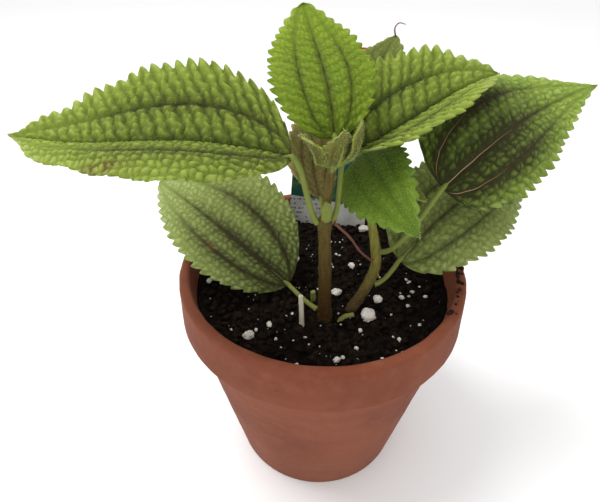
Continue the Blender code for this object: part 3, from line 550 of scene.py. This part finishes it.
def settle(obj, name, material, nodes=()):
    """Name a finished piece, dress it and put it on the body."""
    obj.name = name
    obj.data.name = name
    if material is not None:
        obj.data.materials.clear()
        obj.data.materials.append(material)
    for polygon in obj.data.polygons:
        polygon.use_smooth = True
    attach(obj, "root")
    if nodes:
        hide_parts(*nodes)
    return obj


def apply_all(obj):
    choose(obj)
    for modifier in list(obj.modifiers):
        bpy.ops.object.modifier_apply(modifier=modifier.name)


def above_soil(place):
    """A place in mm with its height from the soil, in the whole plant's frame."""
    return np.array(place) * MM + np.array([0.0, 0.0, SOIL_TOP])


def points_of(obj, what="co"):
    flat = np.empty(len(obj.data.vertices) * 3)
    obj.data.vertices.foreach_get(what, flat)
    return flat.reshape(-1, 3)


def normals_of(obj):
    return points_of(obj, "normal")


def mesh_piece(name, points, faces):
    mesh = bpy.data.meshes.new(name)
    mesh.from_pydata(points.tolist(), [], faces.tolist())
    obj = bpy.data.objects.new(name, mesh)
    bpy.context.collection.objects.link(obj)
    return obj


def move_points(obj, places):
    obj.data.vertices.foreach_set("co", np.ascontiguousarray(places, dtype=float).ravel())
    obj.data.update()


def lump_noise(places, size, seed, octaves=3):
    """Smooth noise from -1 to 1 at places (m), with bumps about `size` across."""
    chance = np.random.default_rng(seed)
    total = np.zeros(len(places))
    strength = 1.0
    for octave in range(octaves):
        for wave in range(7):
            way = chance.normal(size=3)
            way = way / np.linalg.norm(way) * 2 * math.pi / size * (0.7 + 0.6 * chance.random())
            total = total + strength * np.sin(places @ way + chance.random() * 2 * math.pi)
        strength *= 0.5
        size *= 0.5
    return np.clip(total / 6.0, -1.0, 1.0)


def smooth_path(points, steps):
    """A curve through the stations (centre and radius in mm), in metres."""
    values = np.array([[*above_soil(centre), radius * MM] for centre, radius in points])
    padded = np.vstack([2 * values[0] - values[1], values, 2 * values[-1] - values[-2]])
    result = []
    for i in range(len(values) - 1):
        p0, p1, p2, p3 = padded[i:i + 4]
        for step in range(steps):
            t = step / steps
            result.append(0.5 * (2 * p1 + (p2 - p0) * t + (2 * p0 - 5 * p1 + 4 * p2 - p3) * t ** 2
                                 + (3 * p1 - p0 - 3 * p2 + p3) * t ** 3))
    result.append(values[-1])
    return np.array(result)


def make_tube(name, path, detail=4):
    """A round rod along a path of (x, y, z, radius), made from a curve."""
    curve = bpy.data.curves.new(name, "CURVE")
    curve.dimensions = "3D"
    curve.bevel_depth = 1.0
    curve.bevel_resolution = detail
    curve.use_fill_caps = True
    spline = curve.splines.new("POLY")
    spline.points.add(len(path) - 1)
    for point, (x, y, z, radius) in zip(spline.points, path):
        point.co = (x, y, z, 1.0)
        point.radius = radius
    obj = bpy.data.objects.new(name, curve)
    bpy.context.collection.objects.link(obj)
    choose(obj)
    bpy.ops.object.convert(target="MESH")
    return obj


# ---------------------------------------------------------------- leaves
class Blade:
    """The curved middle surface of a leaf, s from base to tip and t from side to side."""

    def __init__(self, leaf):
        self.leaf = leaf
        self.base = above_soil(leaf["base"])
        self.tip = above_soil(leaf["tip"])
        self.length = np.linalg.norm(self.tip - self.base)
        self.along = (self.tip - self.base) / self.length
        level = np.cross(self.along, [0.0, 0.0, 1.0])
        level = level / np.linalg.norm(level)
        upright = np.cross(level, self.along)
        roll = math.radians(leaf["roll"])
        self.side = level * math.cos(roll) + upright * math.sin(roll)
        self.up = upright * math.cos(roll) - level * math.sin(roll)

    def outline(self, s):
        s = np.clip(s, 1e-6, 1 - 1e-6)
        tip_power = self.leaf["taper"]
        widest = self.leaf["widest"]
        base_power = tip_power * widest / (1 - widest)
        peak = widest ** base_power * (1 - widest) ** tip_power
        return s ** base_power * (1 - s) ** tip_power / peak

    def width(self, s, t):
        half = np.where(t > 0, self.leaf["right"], self.leaf["left"]) * MM
        lobe = np.where(t > 0, 0.0, self.leaf["lobe"]) * bell(s - LOBE_PLACE, LOBE_SIZE) * fall(s, 1, 0.14)
        return half * self.outline(s) + (BLADE_END + lobe) * MM

    def point(self, s, t):
        leaf = self.leaf
        width = self.width(s, t)
        rise = np.radians(np.where(t > 0, leaf["rise"][0], leaf["rise"][1]))
        curl = np.radians(np.where(t > 0, leaf["curl"][0], leaf["curl"][1]))
        reach = np.abs(t)
        across = width * (np.sin(rise) - np.sin(rise - curl * reach)) / curl
        lift = width * (np.cos(rise - curl * reach) - np.cos(rise)) / curl
        bow = 4 * s * (1 - s)
        lift = lift + (leaf["arch"] * bow + leaf["bend"] * np.sin(2 * math.pi * s)) * MM
        sideways = leaf["sweep"] * bow * MM + across * np.sign(t)
        return (self.base + np.multiply.outer(s * self.length, self.along)
                + np.multiply.outer(lift, self.up) + np.multiply.outer(sideways, self.side))


def bell(distance, size):
    return np.exp(-(distance / size) ** 2)


def climb(value, start, run):
    """Rise from 0 to 1 as the value goes from start to start + run."""
    return np.clip((value - start) / run, 0, 1)


def fall(value, end, run):
    """Drop from 1 to 0 as the value goes from end - run to end."""
    return np.clip((end - value) / run, 0, 1)


def pucker(u, v, cell, seed):
    """Height from 0 to 1 of rounded cells about `cell` across (u, v in mm)."""
    chance = np.random.default_rng(seed)
    table = chance.random((64, 64, 2))
    column = np.floor(u / cell).astype(int)
    row = np.floor(v / cell).astype(int)
    nearest = np.full(u.shape, 1e9)
    second = np.full(u.shape, 1e9)
    for i in (-1, 0, 1):
        for j in (-1, 0, 1):
            spot = table[(column + i) % 64, (row + j) % 64]
            distance = np.hypot((column + i + 0.2 + 0.6 * spot[:, 0]) * cell - u,
                                (row + j + 0.2 + 0.6 * spot[:, 1]) * cell - v)
            second = np.minimum(second, np.maximum(nearest, distance))
            nearest = np.minimum(nearest, distance)
    rim = np.clip((second - nearest) / (0.55 * cell), 0, 1)
    return rim * rim * (3 - 2 * rim)


def tooth_shape(phase):
    """Saw tooth from 0 to 1: a long rounded back and a short front edge."""
    back = np.sin(np.clip(phase / TOOTH_LEAN, 0, 1) * math.pi / 2) ** 0.9
    front = np.clip((1 - phase) / (1 - TOOTH_LEAN), 0, 1)
    return np.minimum(back, front)


class Veins:
    """How far each point of a blade lies from its veins (mm), and where in its pillow."""

    def __init__(self, leaf, blade, s, t, seed):
        self.reach = reach = np.abs(t)
        half = blade.width(s, t) / MM
        self.length = blade.length / MM
        self.u = u = s * self.length
        self.v = v = t * half
        self.wobble = wobble = (0.35 * np.sin(0.9 * u + 1.7 * np.sin(0.5 * v + seed))
                                + 0.25 * np.sin(2.3 * v + seed))
        self.mid = v + MID_WANDER * wobble
        self.lateral = (reach - LATERAL_VEIN) * half + LATERAL_WANDER * wobble
        inside = reach < LATERAL_VEIN
        pitch = leaf["pitch"]
        outer_pitch = self.length / leaf["teeth"]
        lean = np.where(t > 0, 0.0, LEFT_ROW_SHIFT * pitch)
        inner = (u - INNER_SLANT * reach * half - INNER_BOW * (reach * half) ** 2 + lean + wobble) / pitch
        outer = (u - OUTER_SLANT * (reach - LATERAL_VEIN) * half + 0.5 * lean + wobble) / outer_pitch
        inner = inner - np.floor(inner)
        outer = outer - np.floor(outer)
        self.row = np.where(inside, np.minimum(inner, 1 - inner) * pitch,
                            np.minimum(outer, 1 - outer) * outer_pitch)
        self.roundness = np.where(inside, np.sin(math.pi * inner), np.sin(math.pi * outer)) ** 0.6
        self.cells = pucker(u + wobble + 300.0, v + 200.0 + 0.4 * wobble, leaf["cell"], seed)


def dark_share(leaf, veins, s, seed):
    """Strength of the dark veins: the three main ones, then rows and puckers near them."""
    fade_mid = fall(s, *MID_FADE)
    fade_lateral = fall(s, *LATERAL_FADE) * climb(s, 0, 0.06)
    thick = leaf["vein"]
    spread = leaf["reach"]
    dark = np.maximum(bell(veins.mid, 0.62 * thick) * fade_mid,
                      0.9 * bell(veins.lateral, 0.55 * thick) * fade_lateral)
    near_vein = np.maximum(bell(veins.mid, spread) * fade_mid,
                           bell(veins.lateral, 0.8 * spread) * fade_lateral)
    dark = np.maximum(dark, 0.85 * bell(veins.row, 0.42 * thick) * near_vein)
    dark = np.maximum(dark, (1 - veins.cells) ** 2 * near_vein * 0.5)
    patchy = 0.72 + 0.28 * np.sin(1.1 * veins.u + 1.3 * np.sin(0.8 * veins.v + seed))
    return np.clip(dark * patchy * leaf["dark"], 0, 1)


def stain_and_shade_share(leaf, veins, dome, s):
    """Strength of the dark zone along the veins, darker in the valleys as painted shade, and of the painted
    shade at the foot of the blade.
    """
    heart = np.maximum(bell(veins.mid, leaf["stain"] * 1.5), 0.9 * bell(veins.lateral, leaf["stain"]))
    heart = heart * fall(s, *STAIN_FADE)
    # painted shade: the zone is darker where the dome is low, in the valleys
    stain = np.clip(heart * leaf["stain_and_shade"] * (0.65 + 0.5 * (1 - dome)), 0, 0.95)
    # painted shade at the foot of the blade, in the stain colour
    foot = bell(veins.u, FOOT_SHADE * veins.length) * leaf["stain_and_shade"]
    return np.maximum(stain, np.clip(0.95 * foot * (1.1 - dome), 0, 0.9))


def burn_share(leaf, veins):
    if leaf["burn"] is None:
        return np.zeros_like(veins.u)
    place, across, size = leaf["burn"]
    away = np.hypot((veins.u - place) * 0.6, (veins.v - across) * 1.6) / size + 0.5 * veins.wobble
    return np.clip(1.3 - away, 0, 1) * (1 - 0.5 * veins.cells)


def leaf_relief(leaf, blade, s, t, seed):
    """Height of the pillows (mm), and what the leaf's colours read from its points."""
    veins = Veins(leaf, blade, s, t, seed)
    reach = veins.reach
    rows = leaf["rows"] * np.where(t > 0, 1.0, leaf["under"])
    shell = (1 - bell(veins.mid, 1.0)) * (1 - 0.8 * bell(veins.lateral, 0.8))
    shell = shell * (1 - 0.8 * rows * bell(veins.row, 0.55))
    dome = shell * (0.45 * rows * veins.roundness + 0.15 + (0.85 - 0.45 * rows) * veins.cells)
    ends = climb(s, 0, 0.04) * fall(s, 1, 0.06)
    quilt = leaf["quilt"] * np.where(t > 0, 1.0, 0.6 + 0.4 * leaf["under"])
    height = quilt * (dome - 0.4) * (0.3 + 0.7 * fall(reach, 1, 0.10)) * ends
    bare = climb(s, 0, 0.03) * leaf["core"]
    paler = 0.6 * climb(s, 0.55, 0.45) + 0.3 * climb(reach, 0.7, 0.3)
    # second share: painted light on the domes and painted shade between them, plus paler tips and margins;
    # third share: stain with painted shade
    relief = (dark_share(leaf, veins, s, seed), dome * 0.85 + paler,
              stain_and_shade_share(leaf, veins, dome, s), burn_share(leaf, veins))
    lines = (veins.mid, veins.lateral, bare * fall(s, *MID_CORE_FADE), bare * fall(s, *LATERAL_CORE_FADE))
    return height, {"relief": np.stack(relief, axis=-1), "veins": np.stack(lines, axis=-1)}


def thicken(obj, up, thickness):
    """Give a sheet its underside, in the second material."""
    choose(obj)
    bpy.ops.object.mode_set(mode="EDIT")
    bpy.ops.mesh.select_mode(type="VERT")
    bpy.ops.mesh.select_all(action="SELECT")
    bpy.ops.mesh.extrude_region_move()
    bpy.ops.object.mode_set(mode="OBJECT")
    fresh = np.empty(len(obj.data.vertices), dtype=bool)
    obj.data.vertices.foreach_get("select", fresh)
    places = points_of(obj)
    places[~fresh] -= up * thickness
    move_points(obj, places)
    for polygon in obj.data.polygons:
        if not fresh[list(polygon.vertices)].any():
            polygon.material_index = 1
    bpy.ops.object.mode_set(mode="EDIT")
    face_out()


def make_leaf(name, leaf, seed):
    """A quilted blade on its stalk, in place of the frame's plain leaf."""
    blade = Blade(leaf)
    length_steps = max(24, int(blade.length / MM / LEAF_STEP))
    side_steps = 2 * max(7, int((leaf["left"] + leaf["right"]) / LEAF_STEP / 2))
    choose()
    bpy.ops.mesh.primitive_grid_add(x_subdivisions=length_steps, y_subdivisions=side_steps, size=1.0)
    obj = bpy.context.active_object
    flat = points_of(obj)
    s = flat[:, 0] + 0.5
    t = np.clip(flat[:, 1] * -2, -1, 1)
    height, shares = leaf_relief(leaf, blade, s, t, seed)
    count = leaf["teeth"]
    turns = count * s + np.where(t > 0, 0.0, LEFT_PHASE)
    tooth = tooth_shape(turns % 1.0) * np.clip(blade.outline(s), 0, 1) ** 0.4
    edge = climb(np.abs(t), TOOTHED_FROM, 1 - TOOTHED_FROM)
    uneven = 0.8 + 0.4 * np.sin(np.floor(turns) * 2.4 + seed) ** 2
    below = np.where(t > 0, 1.0, leaf["under"])
    places = blade.point(s, t)
    outward = places - blade.point(s, t * 0.9)
    outward = outward / np.maximum(np.linalg.norm(outward, axis=1, keepdims=True), 1e-9)
    jut = (tooth - TOOTH_SINK) * uneven * leaf["tooth"] * MM * edge * below
    places = places + outward * jut[:, None]
    pitch = blade.length / count
    places = places + np.outer((tooth - 0.3) * edge * pitch * TOOTH_FORWARD, blade.along)
    wave = np.sin(s * count * 1.3 + seed) * edge * MARGIN_WAVE * MM
    places = places + np.outer(height * MM + wave, blade.up)
    move_points(obj, places)
    for title, values in shares.items():
        layer = obj.data.color_attributes.new(title, "FLOAT_COLOR", "POINT")
        layer.data.foreach_set("color", values.ravel())
    for material in LOOKS[leaf["look"]]:
        obj.data.materials.append(material)
    thicken(obj, blade.up, LEAF_THICKNESS)
    stalk = make_stalk(name + "_stalk", leaf, blade)
    choose(stalk, obj)
    bpy.ops.object.join()
    return settle(obj, name + "_blade", None, (name,))


def make_stalk(name, leaf, blade):
    """The leaf stalk, which carries on under the blade as its midrib."""
    foot = above_soil(leaf["foot"])
    out = np.array(leaf["out"])
    out = out / np.linalg.norm(out)
    reach = np.linalg.norm(blade.base - foot)
    start = blade.point(np.array([0.0, 0.03]), np.array([0.0, 0.0]))
    slope = (start[1] - start[0]) / np.linalg.norm(start[1] - start[0])
    bends = (foot, foot + out * reach * STALK_LEAVES, start[0] - slope * reach * STALK_ARRIVES, start[0])
    path = []
    for i in range(21):
        t = i / 21
        share = ((1 - t) ** 3, 3 * t * (1 - t) ** 2, 3 * t ** 2 * (1 - t), t ** 3)
        centre = sum(k * bend for k, bend in zip(share, bends))
        path.append((*centre, leaf["stalk"] * MM * (1.2 - 0.2 * min(1.0, i / 4))))
    for i in range(24):
        s = i / 24 * RIB_END
        centre = blade.point(np.array([s]), np.array([0.0]))[0]
        radius = leaf["stalk"] * MM * (0.95 * (1 - s) ** 1.2 + 0.1)
        sink = radius + (0.4 * leaf["quilt"] + 0.1) * MM
        centre = centre - blade.up * sink * min(1.0, s * 30)
        path.append((*centre, radius))
    obj = make_tube(name, np.array(path), 3)
    places = points_of(obj)
    places = places + normals_of(obj) * (lump_noise(places, 2.5 * MM, 5) * 0.06 * MM)[:, None]
    move_points(obj, places)
    obj.data.materials.append(STALK)
    return obj


# ---------------------------------------------------------------- stems
def make_stem(name, material, rough):
    """A stem or twig with bumps of up to rough (mm), drawn out along it."""
    obj = make_tube(name + "_skin", smooth_path(STEMS[name], 8), 6)
    places = points_of(obj)
    seed = len(name)
    bumps = lump_noise(places * np.array([1.0, 1.0, 0.35]), 2.2 * MM, seed)
    places = places + normals_of(obj) * (bumps * rough * MM)[:, None]
    move_points(obj, places)
    return settle(obj, name + "_skin", material, (name,))


# ---------------------------------------------------------------- pot, soil, label
def spin_outline(name, outline, steps):
    """Turn a closed (radius, height) outline round the z axis."""
    choose()
    bpy.ops.mesh.primitive_circle_add(vertices=len(outline), radius=1.0)
    obj = bpy.context.active_object
    places = np.array([(radius, 0.0, height) for radius, height in outline])
    move_points(obj, places)
    bpy.ops.object.mode_set(mode="EDIT")
    bpy.ops.mesh.select_all(action="SELECT")
    bpy.ops.mesh.spin(steps=steps, angle=2 * math.pi, center=(0, 0, 0), axis=(0, 0, 1))
    bpy.ops.mesh.select_all(action="SELECT")
    bpy.ops.mesh.remove_doubles(threshold=1e-6)
    face_out()
    obj.name = name
    return obj


def corner(centre_r, centre_z, radius, start, end, steps=6):
    points = []
    for i in range(steps + 1):
        angle = math.radians(start + (end - start) * i / steps)
        points.append((centre_r + radius * math.cos(angle), centre_z + radius * math.sin(angle)))
    return points


def straight(first, last, shares):
    """Points on the line from first to last, at these shares of it."""
    return [tuple(a + (b - a) * share for a, b in zip(first, last)) for share in shares]


def make_pot():
    band_foot = POT_HEIGHT - BAND_HEIGHT
    lip_foot = POT_HEIGHT - LIP_EDGE
    outline = [(DRAIN_RADIUS, 0.0)]
    outline += corner(POT_FOOT_RADIUS - CLAY_EDGE, CLAY_EDGE, CLAY_EDGE, -90, 0)
    outline += straight((POT_FOOT_RADIUS, CLAY_EDGE), (POT_NECK_RADIUS, band_foot),
                        [i / 14 for i in range(1, 15)])
    outline += corner(BAND_FOOT_RADIUS - CLAY_EDGE, band_foot + CLAY_EDGE, CLAY_EDGE, -90, 0)
    outline += straight((BAND_FOOT_RADIUS, band_foot + CLAY_EDGE), (BAND_TOP_RADIUS, lip_foot),
                        [i / 5 for i in range(1, 5)])
    outline += corner(BAND_TOP_RADIUS - LIP_EDGE, lip_foot, LIP_EDGE, 0, 90)
    outline += corner(LIP_RADIUS + LIP_EDGE, lip_foot, LIP_EDGE, 100, 180)
    outline += straight((FLOOR_RADIUS, FLOOR_THICKNESS), (LIP_RADIUS, lip_foot),
                        [1 - i / 12 for i in range(1, 12)])
    outline.append((FLOOR_RADIUS, FLOOR_THICKNESS))
    outline.append((DRAIN_RADIUS, FLOOR_THICKNESS))
    obj = spin_outline("pot_clay", outline, 160)
    places = points_of(obj)
    bumps = lump_noise(places, 9 * MM, 3) * 0.12 * MM
    outer = np.hypot(places[:, 0], places[:, 1])
    way = np.column_stack([places[:, 0] / outer, places[:, 1] / outer, np.zeros(len(outer))])
    keep = np.where(places[:, 2] < 2 * MM, 0.0, 1.0)
    move_points(obj, places + way * (bumps * keep)[:, None])
    return settle(obj, "pot_clay", CLAY, ("pot",))


def inner_radius(height):
    share = (height - FLOOR_THICKNESS) / (POT_HEIGHT - FLOOR_THICKNESS)
    return FLOOR_RADIUS + (LIP_RADIUS - FLOOR_RADIUS) * share


def soil_height(x, y):
    """Height of the lumpy soil surface at x, y (metres)."""
    places = np.column_stack([x, y, np.zeros(len(x))])
    return (SOIL_TOP + lump_noise(places, 16 * MM, 21, 2) * 0.9 * MM
            + lump_noise(places, 4.5 * MM, 22, 3) * 0.8 * MM)


def make_soil():
    choose()
    bpy.ops.mesh.primitive_circle_add(vertices=96, radius=1.0, fill_type="NOTHING")
    obj = bpy.context.active_object
    bpy.ops.object.mode_set(mode="EDIT")
    bpy.ops.mesh.select_all(action="SELECT")
    rings = 64
    for ring in range(rings):
        bpy.ops.mesh.extrude_region_move()
        shrink = (rings - ring - 1 + 0.02) / (rings - ring)
        bpy.ops.transform.resize(value=(shrink, shrink, 1.0))
    bpy.ops.mesh.merge(type="CENTER")
    face_out()
    places = points_of(obj)
    reach = np.hypot(places[:, 0], places[:, 1])
    edge = inner_radius(SOIL_TOP) + 0.2 * MM
    x = places[:, 0] * edge
    y = places[:, 1] * edge
    height = soil_height(x, y)
    height = height + np.clip((reach - 0.93) / 0.07, 0, 1) * 0.8 * MM
    move_points(obj, np.column_stack([x, y, height]))
    if obj.data.polygons[0].normal.z < 0:
        obj.data.flip_normals()
    wall = obj.modifiers.new("depth", "SOLIDIFY")
    wall.thickness = 6.0 * MM
    wall.offset = -1.0
    apply_all(obj)
    return settle(obj, "soil_surface", SOIL, ("soil",))


def rough_lump(ball, detail, seed, chance):
    """A ball made uneven: faceted when it is coarse, smoothly bumpy when it is fine."""
    if detail < 3:
        return ball * (1 + 0.28 * chance.uniform(-1, 1, size=(len(ball), 1)))
    number = seed[1]
    return ball * (1 + 0.22 * lump_noise(ball + number, 0.45, seed[0] + number, 3))[:, None]


def scatter(name, places, sizes, material, slot_name, seed, squash=0.7, detail=1, nodes=()):
    """Rough lumps at the places, merged into one piece."""
    chance = np.random.default_rng(seed)
    choose()
    bpy.ops.mesh.primitive_ico_sphere_add(subdivisions=detail, radius=0.5)
    pattern = bpy.context.active_object
    ball = points_of(pattern)
    faces = np.array([polygon.vertices[:] for polygon in pattern.data.polygons])
    bpy.data.objects.remove(pattern)
    all_points = []
    all_faces = []
    for number, (place, size) in enumerate(zip(places, sizes)):
        turn = chance.normal(size=(3, 3))
        turn = np.linalg.qr(turn)[0]
        if np.linalg.det(turn) < 0:
            turn[:, 0] = -turn[:, 0]
        stretch = np.array([1.0, chance.uniform(0.6, 1.0), chance.uniform(0.5, 0.95)])
        shape = rough_lump(ball, detail, (seed, number), chance)
        shape = (shape * stretch) @ turn.T * size
        shape[:, 2] *= squash
        all_points.append(shape + place)
        all_faces.append(faces + number * len(ball))
    obj = mesh_piece(name, np.vstack(all_points), np.vstack(all_faces))
    return settle(obj, name, material, nodes)


def scatter_on_soil(count, seed, low, high, reach=0.97):
    """Random places on the soil and sizes between low and high (mm)."""
    chance = np.random.default_rng(seed)
    radius = inner_radius(SOIL_TOP) * reach * np.sqrt(chance.random(count))
    angle = chance.random(count) * 2 * math.pi
    x = radius * np.cos(angle)
    y = radius * np.sin(angle)
    sizes = (low + (high - low) * chance.random(count) ** 2.2) * MM
    return np.column_stack([x, y, soil_height(x, y) + sizes * 0.1]), sizes


def scatter_on_rim(count, seed, start, end, low, high):
    """Random places on the flat of the rim between two angles (degrees), sizes in mm."""
    chance = np.random.default_rng(seed)
    inside = inner_radius(POT_HEIGHT) + 0.8 * MM
    radius = inside + (BAND_TOP_RADIUS - 0.6 * MM - inside) * chance.random(count) ** 1.6
    angle = np.radians((start + end) / 2 + (end - start) / 4 * np.clip(chance.normal(size=count), -2, 2))
    sizes = (low + (high - low) * chance.random(count) ** 2.2) * MM
    height = np.full(count, POT_HEIGHT) + sizes * 0.05
    return np.column_stack([radius * np.cos(angle), radius * np.sin(angle), height]), sizes


def dress_label():
    """Print on the frame's own label, which stays as it is."""
    for material_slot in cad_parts["plant_label"].material_slots:
        material_slot.material = LABEL


def add_hairs(name, sources, seed):
    """Short soft hairs standing on finished pieces: (piece, count, length in mm)."""
    chance = np.random.default_rng(seed)
    roots = []
    ways = []
    for piece, count, length in sources:
        picked = chance.integers(0, len(piece.data.vertices), count)
        way = normals_of(piece)[picked] + chance.normal(size=(count, 3)) * 0.35
        way = way / np.linalg.norm(way, axis=1, keepdims=True)
        roots.append(points_of(piece)[picked] - way * 0.06 * MM)
        ways.append(way * (length * chance.uniform(0.5, 1.2, (count, 1))) * MM)
    root = np.vstack(roots)
    way = np.vstack(ways)
    across = np.cross(way, chance.normal(size=root.shape))
    across = across / np.linalg.norm(across, axis=1, keepdims=True)
    other = np.cross(way / np.linalg.norm(way, axis=1, keepdims=True), across)
    corners = []
    for angle in (0.0, 2 * math.pi / 3, 4 * math.pi / 3):
        corners.append(root + HAIR_RADIUS * (across * math.cos(angle) + other * math.sin(angle)))
    corners.append(root + way)
    points = np.stack(corners, axis=1).reshape(-1, 3)
    first = np.arange(len(root))[:, None, None] * 4
    faces = (first + np.array([[0, 1, 3], [1, 2, 3], [2, 0, 3], [2, 1, 0]])).reshape(-1, 3)
    return settle(mesh_piece(name, points, faces), name, HAIR)


# ---------------------------------------------------------------- the plant
blades = {}
for number, (leaf_name, leaf_facts) in enumerate(LEAVES.items()):
    blades[leaf_name] = make_leaf(leaf_name, leaf_facts, 11 + number)

left_stem = make_stem("stem_left", STEM, 0.14)
right_stem = make_stem("stem_right", STEM_OLIVE, 0.14)
make_stem("runner_shoot", STALK, 0.06)
make_stem("cut_stub", STALK, 0.08)
make_stem("pale_stick", STICK, 0.08)
make_stem("dry_stalk", DRY, 0.08)
bud_low, bud_high = (np.array(corner_point) for corner_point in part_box("node_bud"))
bud_centre = (bud_low + bud_high) / 2
bud = scatter("node_bud_scales", [bud_centre], [1.0], STALK, "leaf_stalk", 4, 1.0, 4, ("node_bud",))
bud_places = points_of(bud)
lump_low = bud_places.min(axis=0)
lump_high = bud_places.max(axis=0)
bud_shape = (bud_places - (lump_high + lump_low) / 2) / (lump_high - lump_low)
move_points(bud, bud_shape * (bud_high - bud_low) * 1.15 + bud_centre)

tip_hair = make_tube("leaf_back_small_hair", smooth_path((
    ((23.0, 24.6, 82.4), 0.3), ((22.4, 24.6, 85.2), 0.22), ((23.6, 24.6, 86.8), 0.18),
    ((25.8, 24.6, 86.4), 0.1)), 6), 2)
settle(tip_hair, "leaf_back_small_hair", DRY)
add_hairs("young_leaf_hairs", (
    (blades["crown_leaf_right"], 500, 0.9), (blades["crown_leaf_front"], 500, 0.9),
    (blades["crown_leaf_left"], 400, 0.9), (blades["tip_leaf_back"], 500, 0.8),
    (blades["tip_leaf_front"], 400, 0.8), (blades["leaf_front_drooping"], 2500, 0.7),
    (blades["leaf_back_shoot"], 1200, 0.8), (blades["leaf_centre_upright"], 1500, 0.5),
    (bud, 300, 0.6)), 51)
add_hairs("leaf_hairs", (
    (blades["leaf_left_large"], 2500, 0.55), (blades["leaf_right_upper"], 2000, 0.55),
    (blades["leaf_right_large"], 2000, 0.55), (blades["leaf_right_lower"], 1500, 0.55),
    (blades["leaf_left_lower"], 1500, 0.55), (blades["leaf_back_small"], 500, 0.6)),
    52)
add_hairs("stem_hairs", ((left_stem, 500, 0.4), (right_stem, 500, 0.4)), 53)

make_pot()
make_soil()
dress_label()

grain_names = [name for name in sorted(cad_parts) if name.startswith("perlite_")]
grain_boxes = [[np.array(corner_point) for corner_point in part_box(name)] for name in grain_names]
grain_places = np.array([(low + high) / 2 for low, high in grain_boxes])
grain_size = np.array([high[0] - low[0] for low, high in grain_boxes])
grain_places[:, 2] = soil_height(grain_places[:, 0], grain_places[:, 1]) + grain_size * 0.28
scatter("perlite_large", grain_places, grain_size * 1.15, PERLITE_WHITE, "perlite", 31, 0.85, 4,
        grain_names)
scatter("perlite_fine", *scatter_on_soil(260, 32, 0.45, 1.8), PERLITE_WHITE, "perlite", 33, 0.8, 2)
scatter("soil_crumbs", *scatter_on_soil(2600, 34, 0.8, 4.2), CRUMB, "soil", 35, 0.7, 1)
scatter("rim_crumbs", *scatter_on_rim(90, 38, -34, 24, 0.4, 2.4), RIM_CRUMB, "soil", 37, 0.8, 1)

# ---------------------------------------------------------------- floor, light, camera
choose()
bpy.ops.mesh.primitive_plane_add(size=6.0, location=(0, 0, 0))
floor = bpy.context.active_object
floor.name = "floor"
floor_paint = Paint("floor_white", 0.6)
floor_paint.shader.inputs["Base Color"].default_value = (0.93, 0.93, 0.93, 1.0)
floor.data.materials.append(floor_paint.material)


def add_area(name, place, aim, size, power):
    light = bpy.data.lights.new(name, "AREA")
    light.shape = "DISK"
    light.size = size
    light.energy = power
    obj = bpy.data.objects.new(name, light)
    obj.location = place
    way = np.array(aim) - np.array(place)
    obj.rotation_euler = Vector(way).to_track_quat("-Z", "Y").to_euler()
    bpy.context.collection.objects.link(obj)
    return obj


add_area("light_overhead", (-0.35, 0.05, 0.9), (0, 0, 0.1), 0.4, 5.5)
add_area("light_front", (-0.2, -0.8, 0.35), (0, 0, 0.1), 0.5, 0.9)

world = bpy.context.scene.world or bpy.data.worlds.new("studio")
bpy.context.scene.world = world
world.use_nodes = True
sky = world.node_tree.nodes["Background"]
sky.inputs["Color"].default_value = (1.0, 1.0, 1.0, 1.0)
sky.inputs["Strength"].default_value = 0.95

camera_data = bpy.data.cameras.new("camera")
camera_data.lens = LENS
camera_data.sensor_width = SENSOR
camera = bpy.data.objects.new("camera", camera_data)
camera.location = CAMERA_PLACE
camera.rotation_euler = (math.radians(CAMERA_TILT), 0.0, 0.0)
bpy.context.collection.objects.link(camera)
bpy.context.scene.camera = camera
bpy.context.scene.view_settings.view_transform = "Standard"
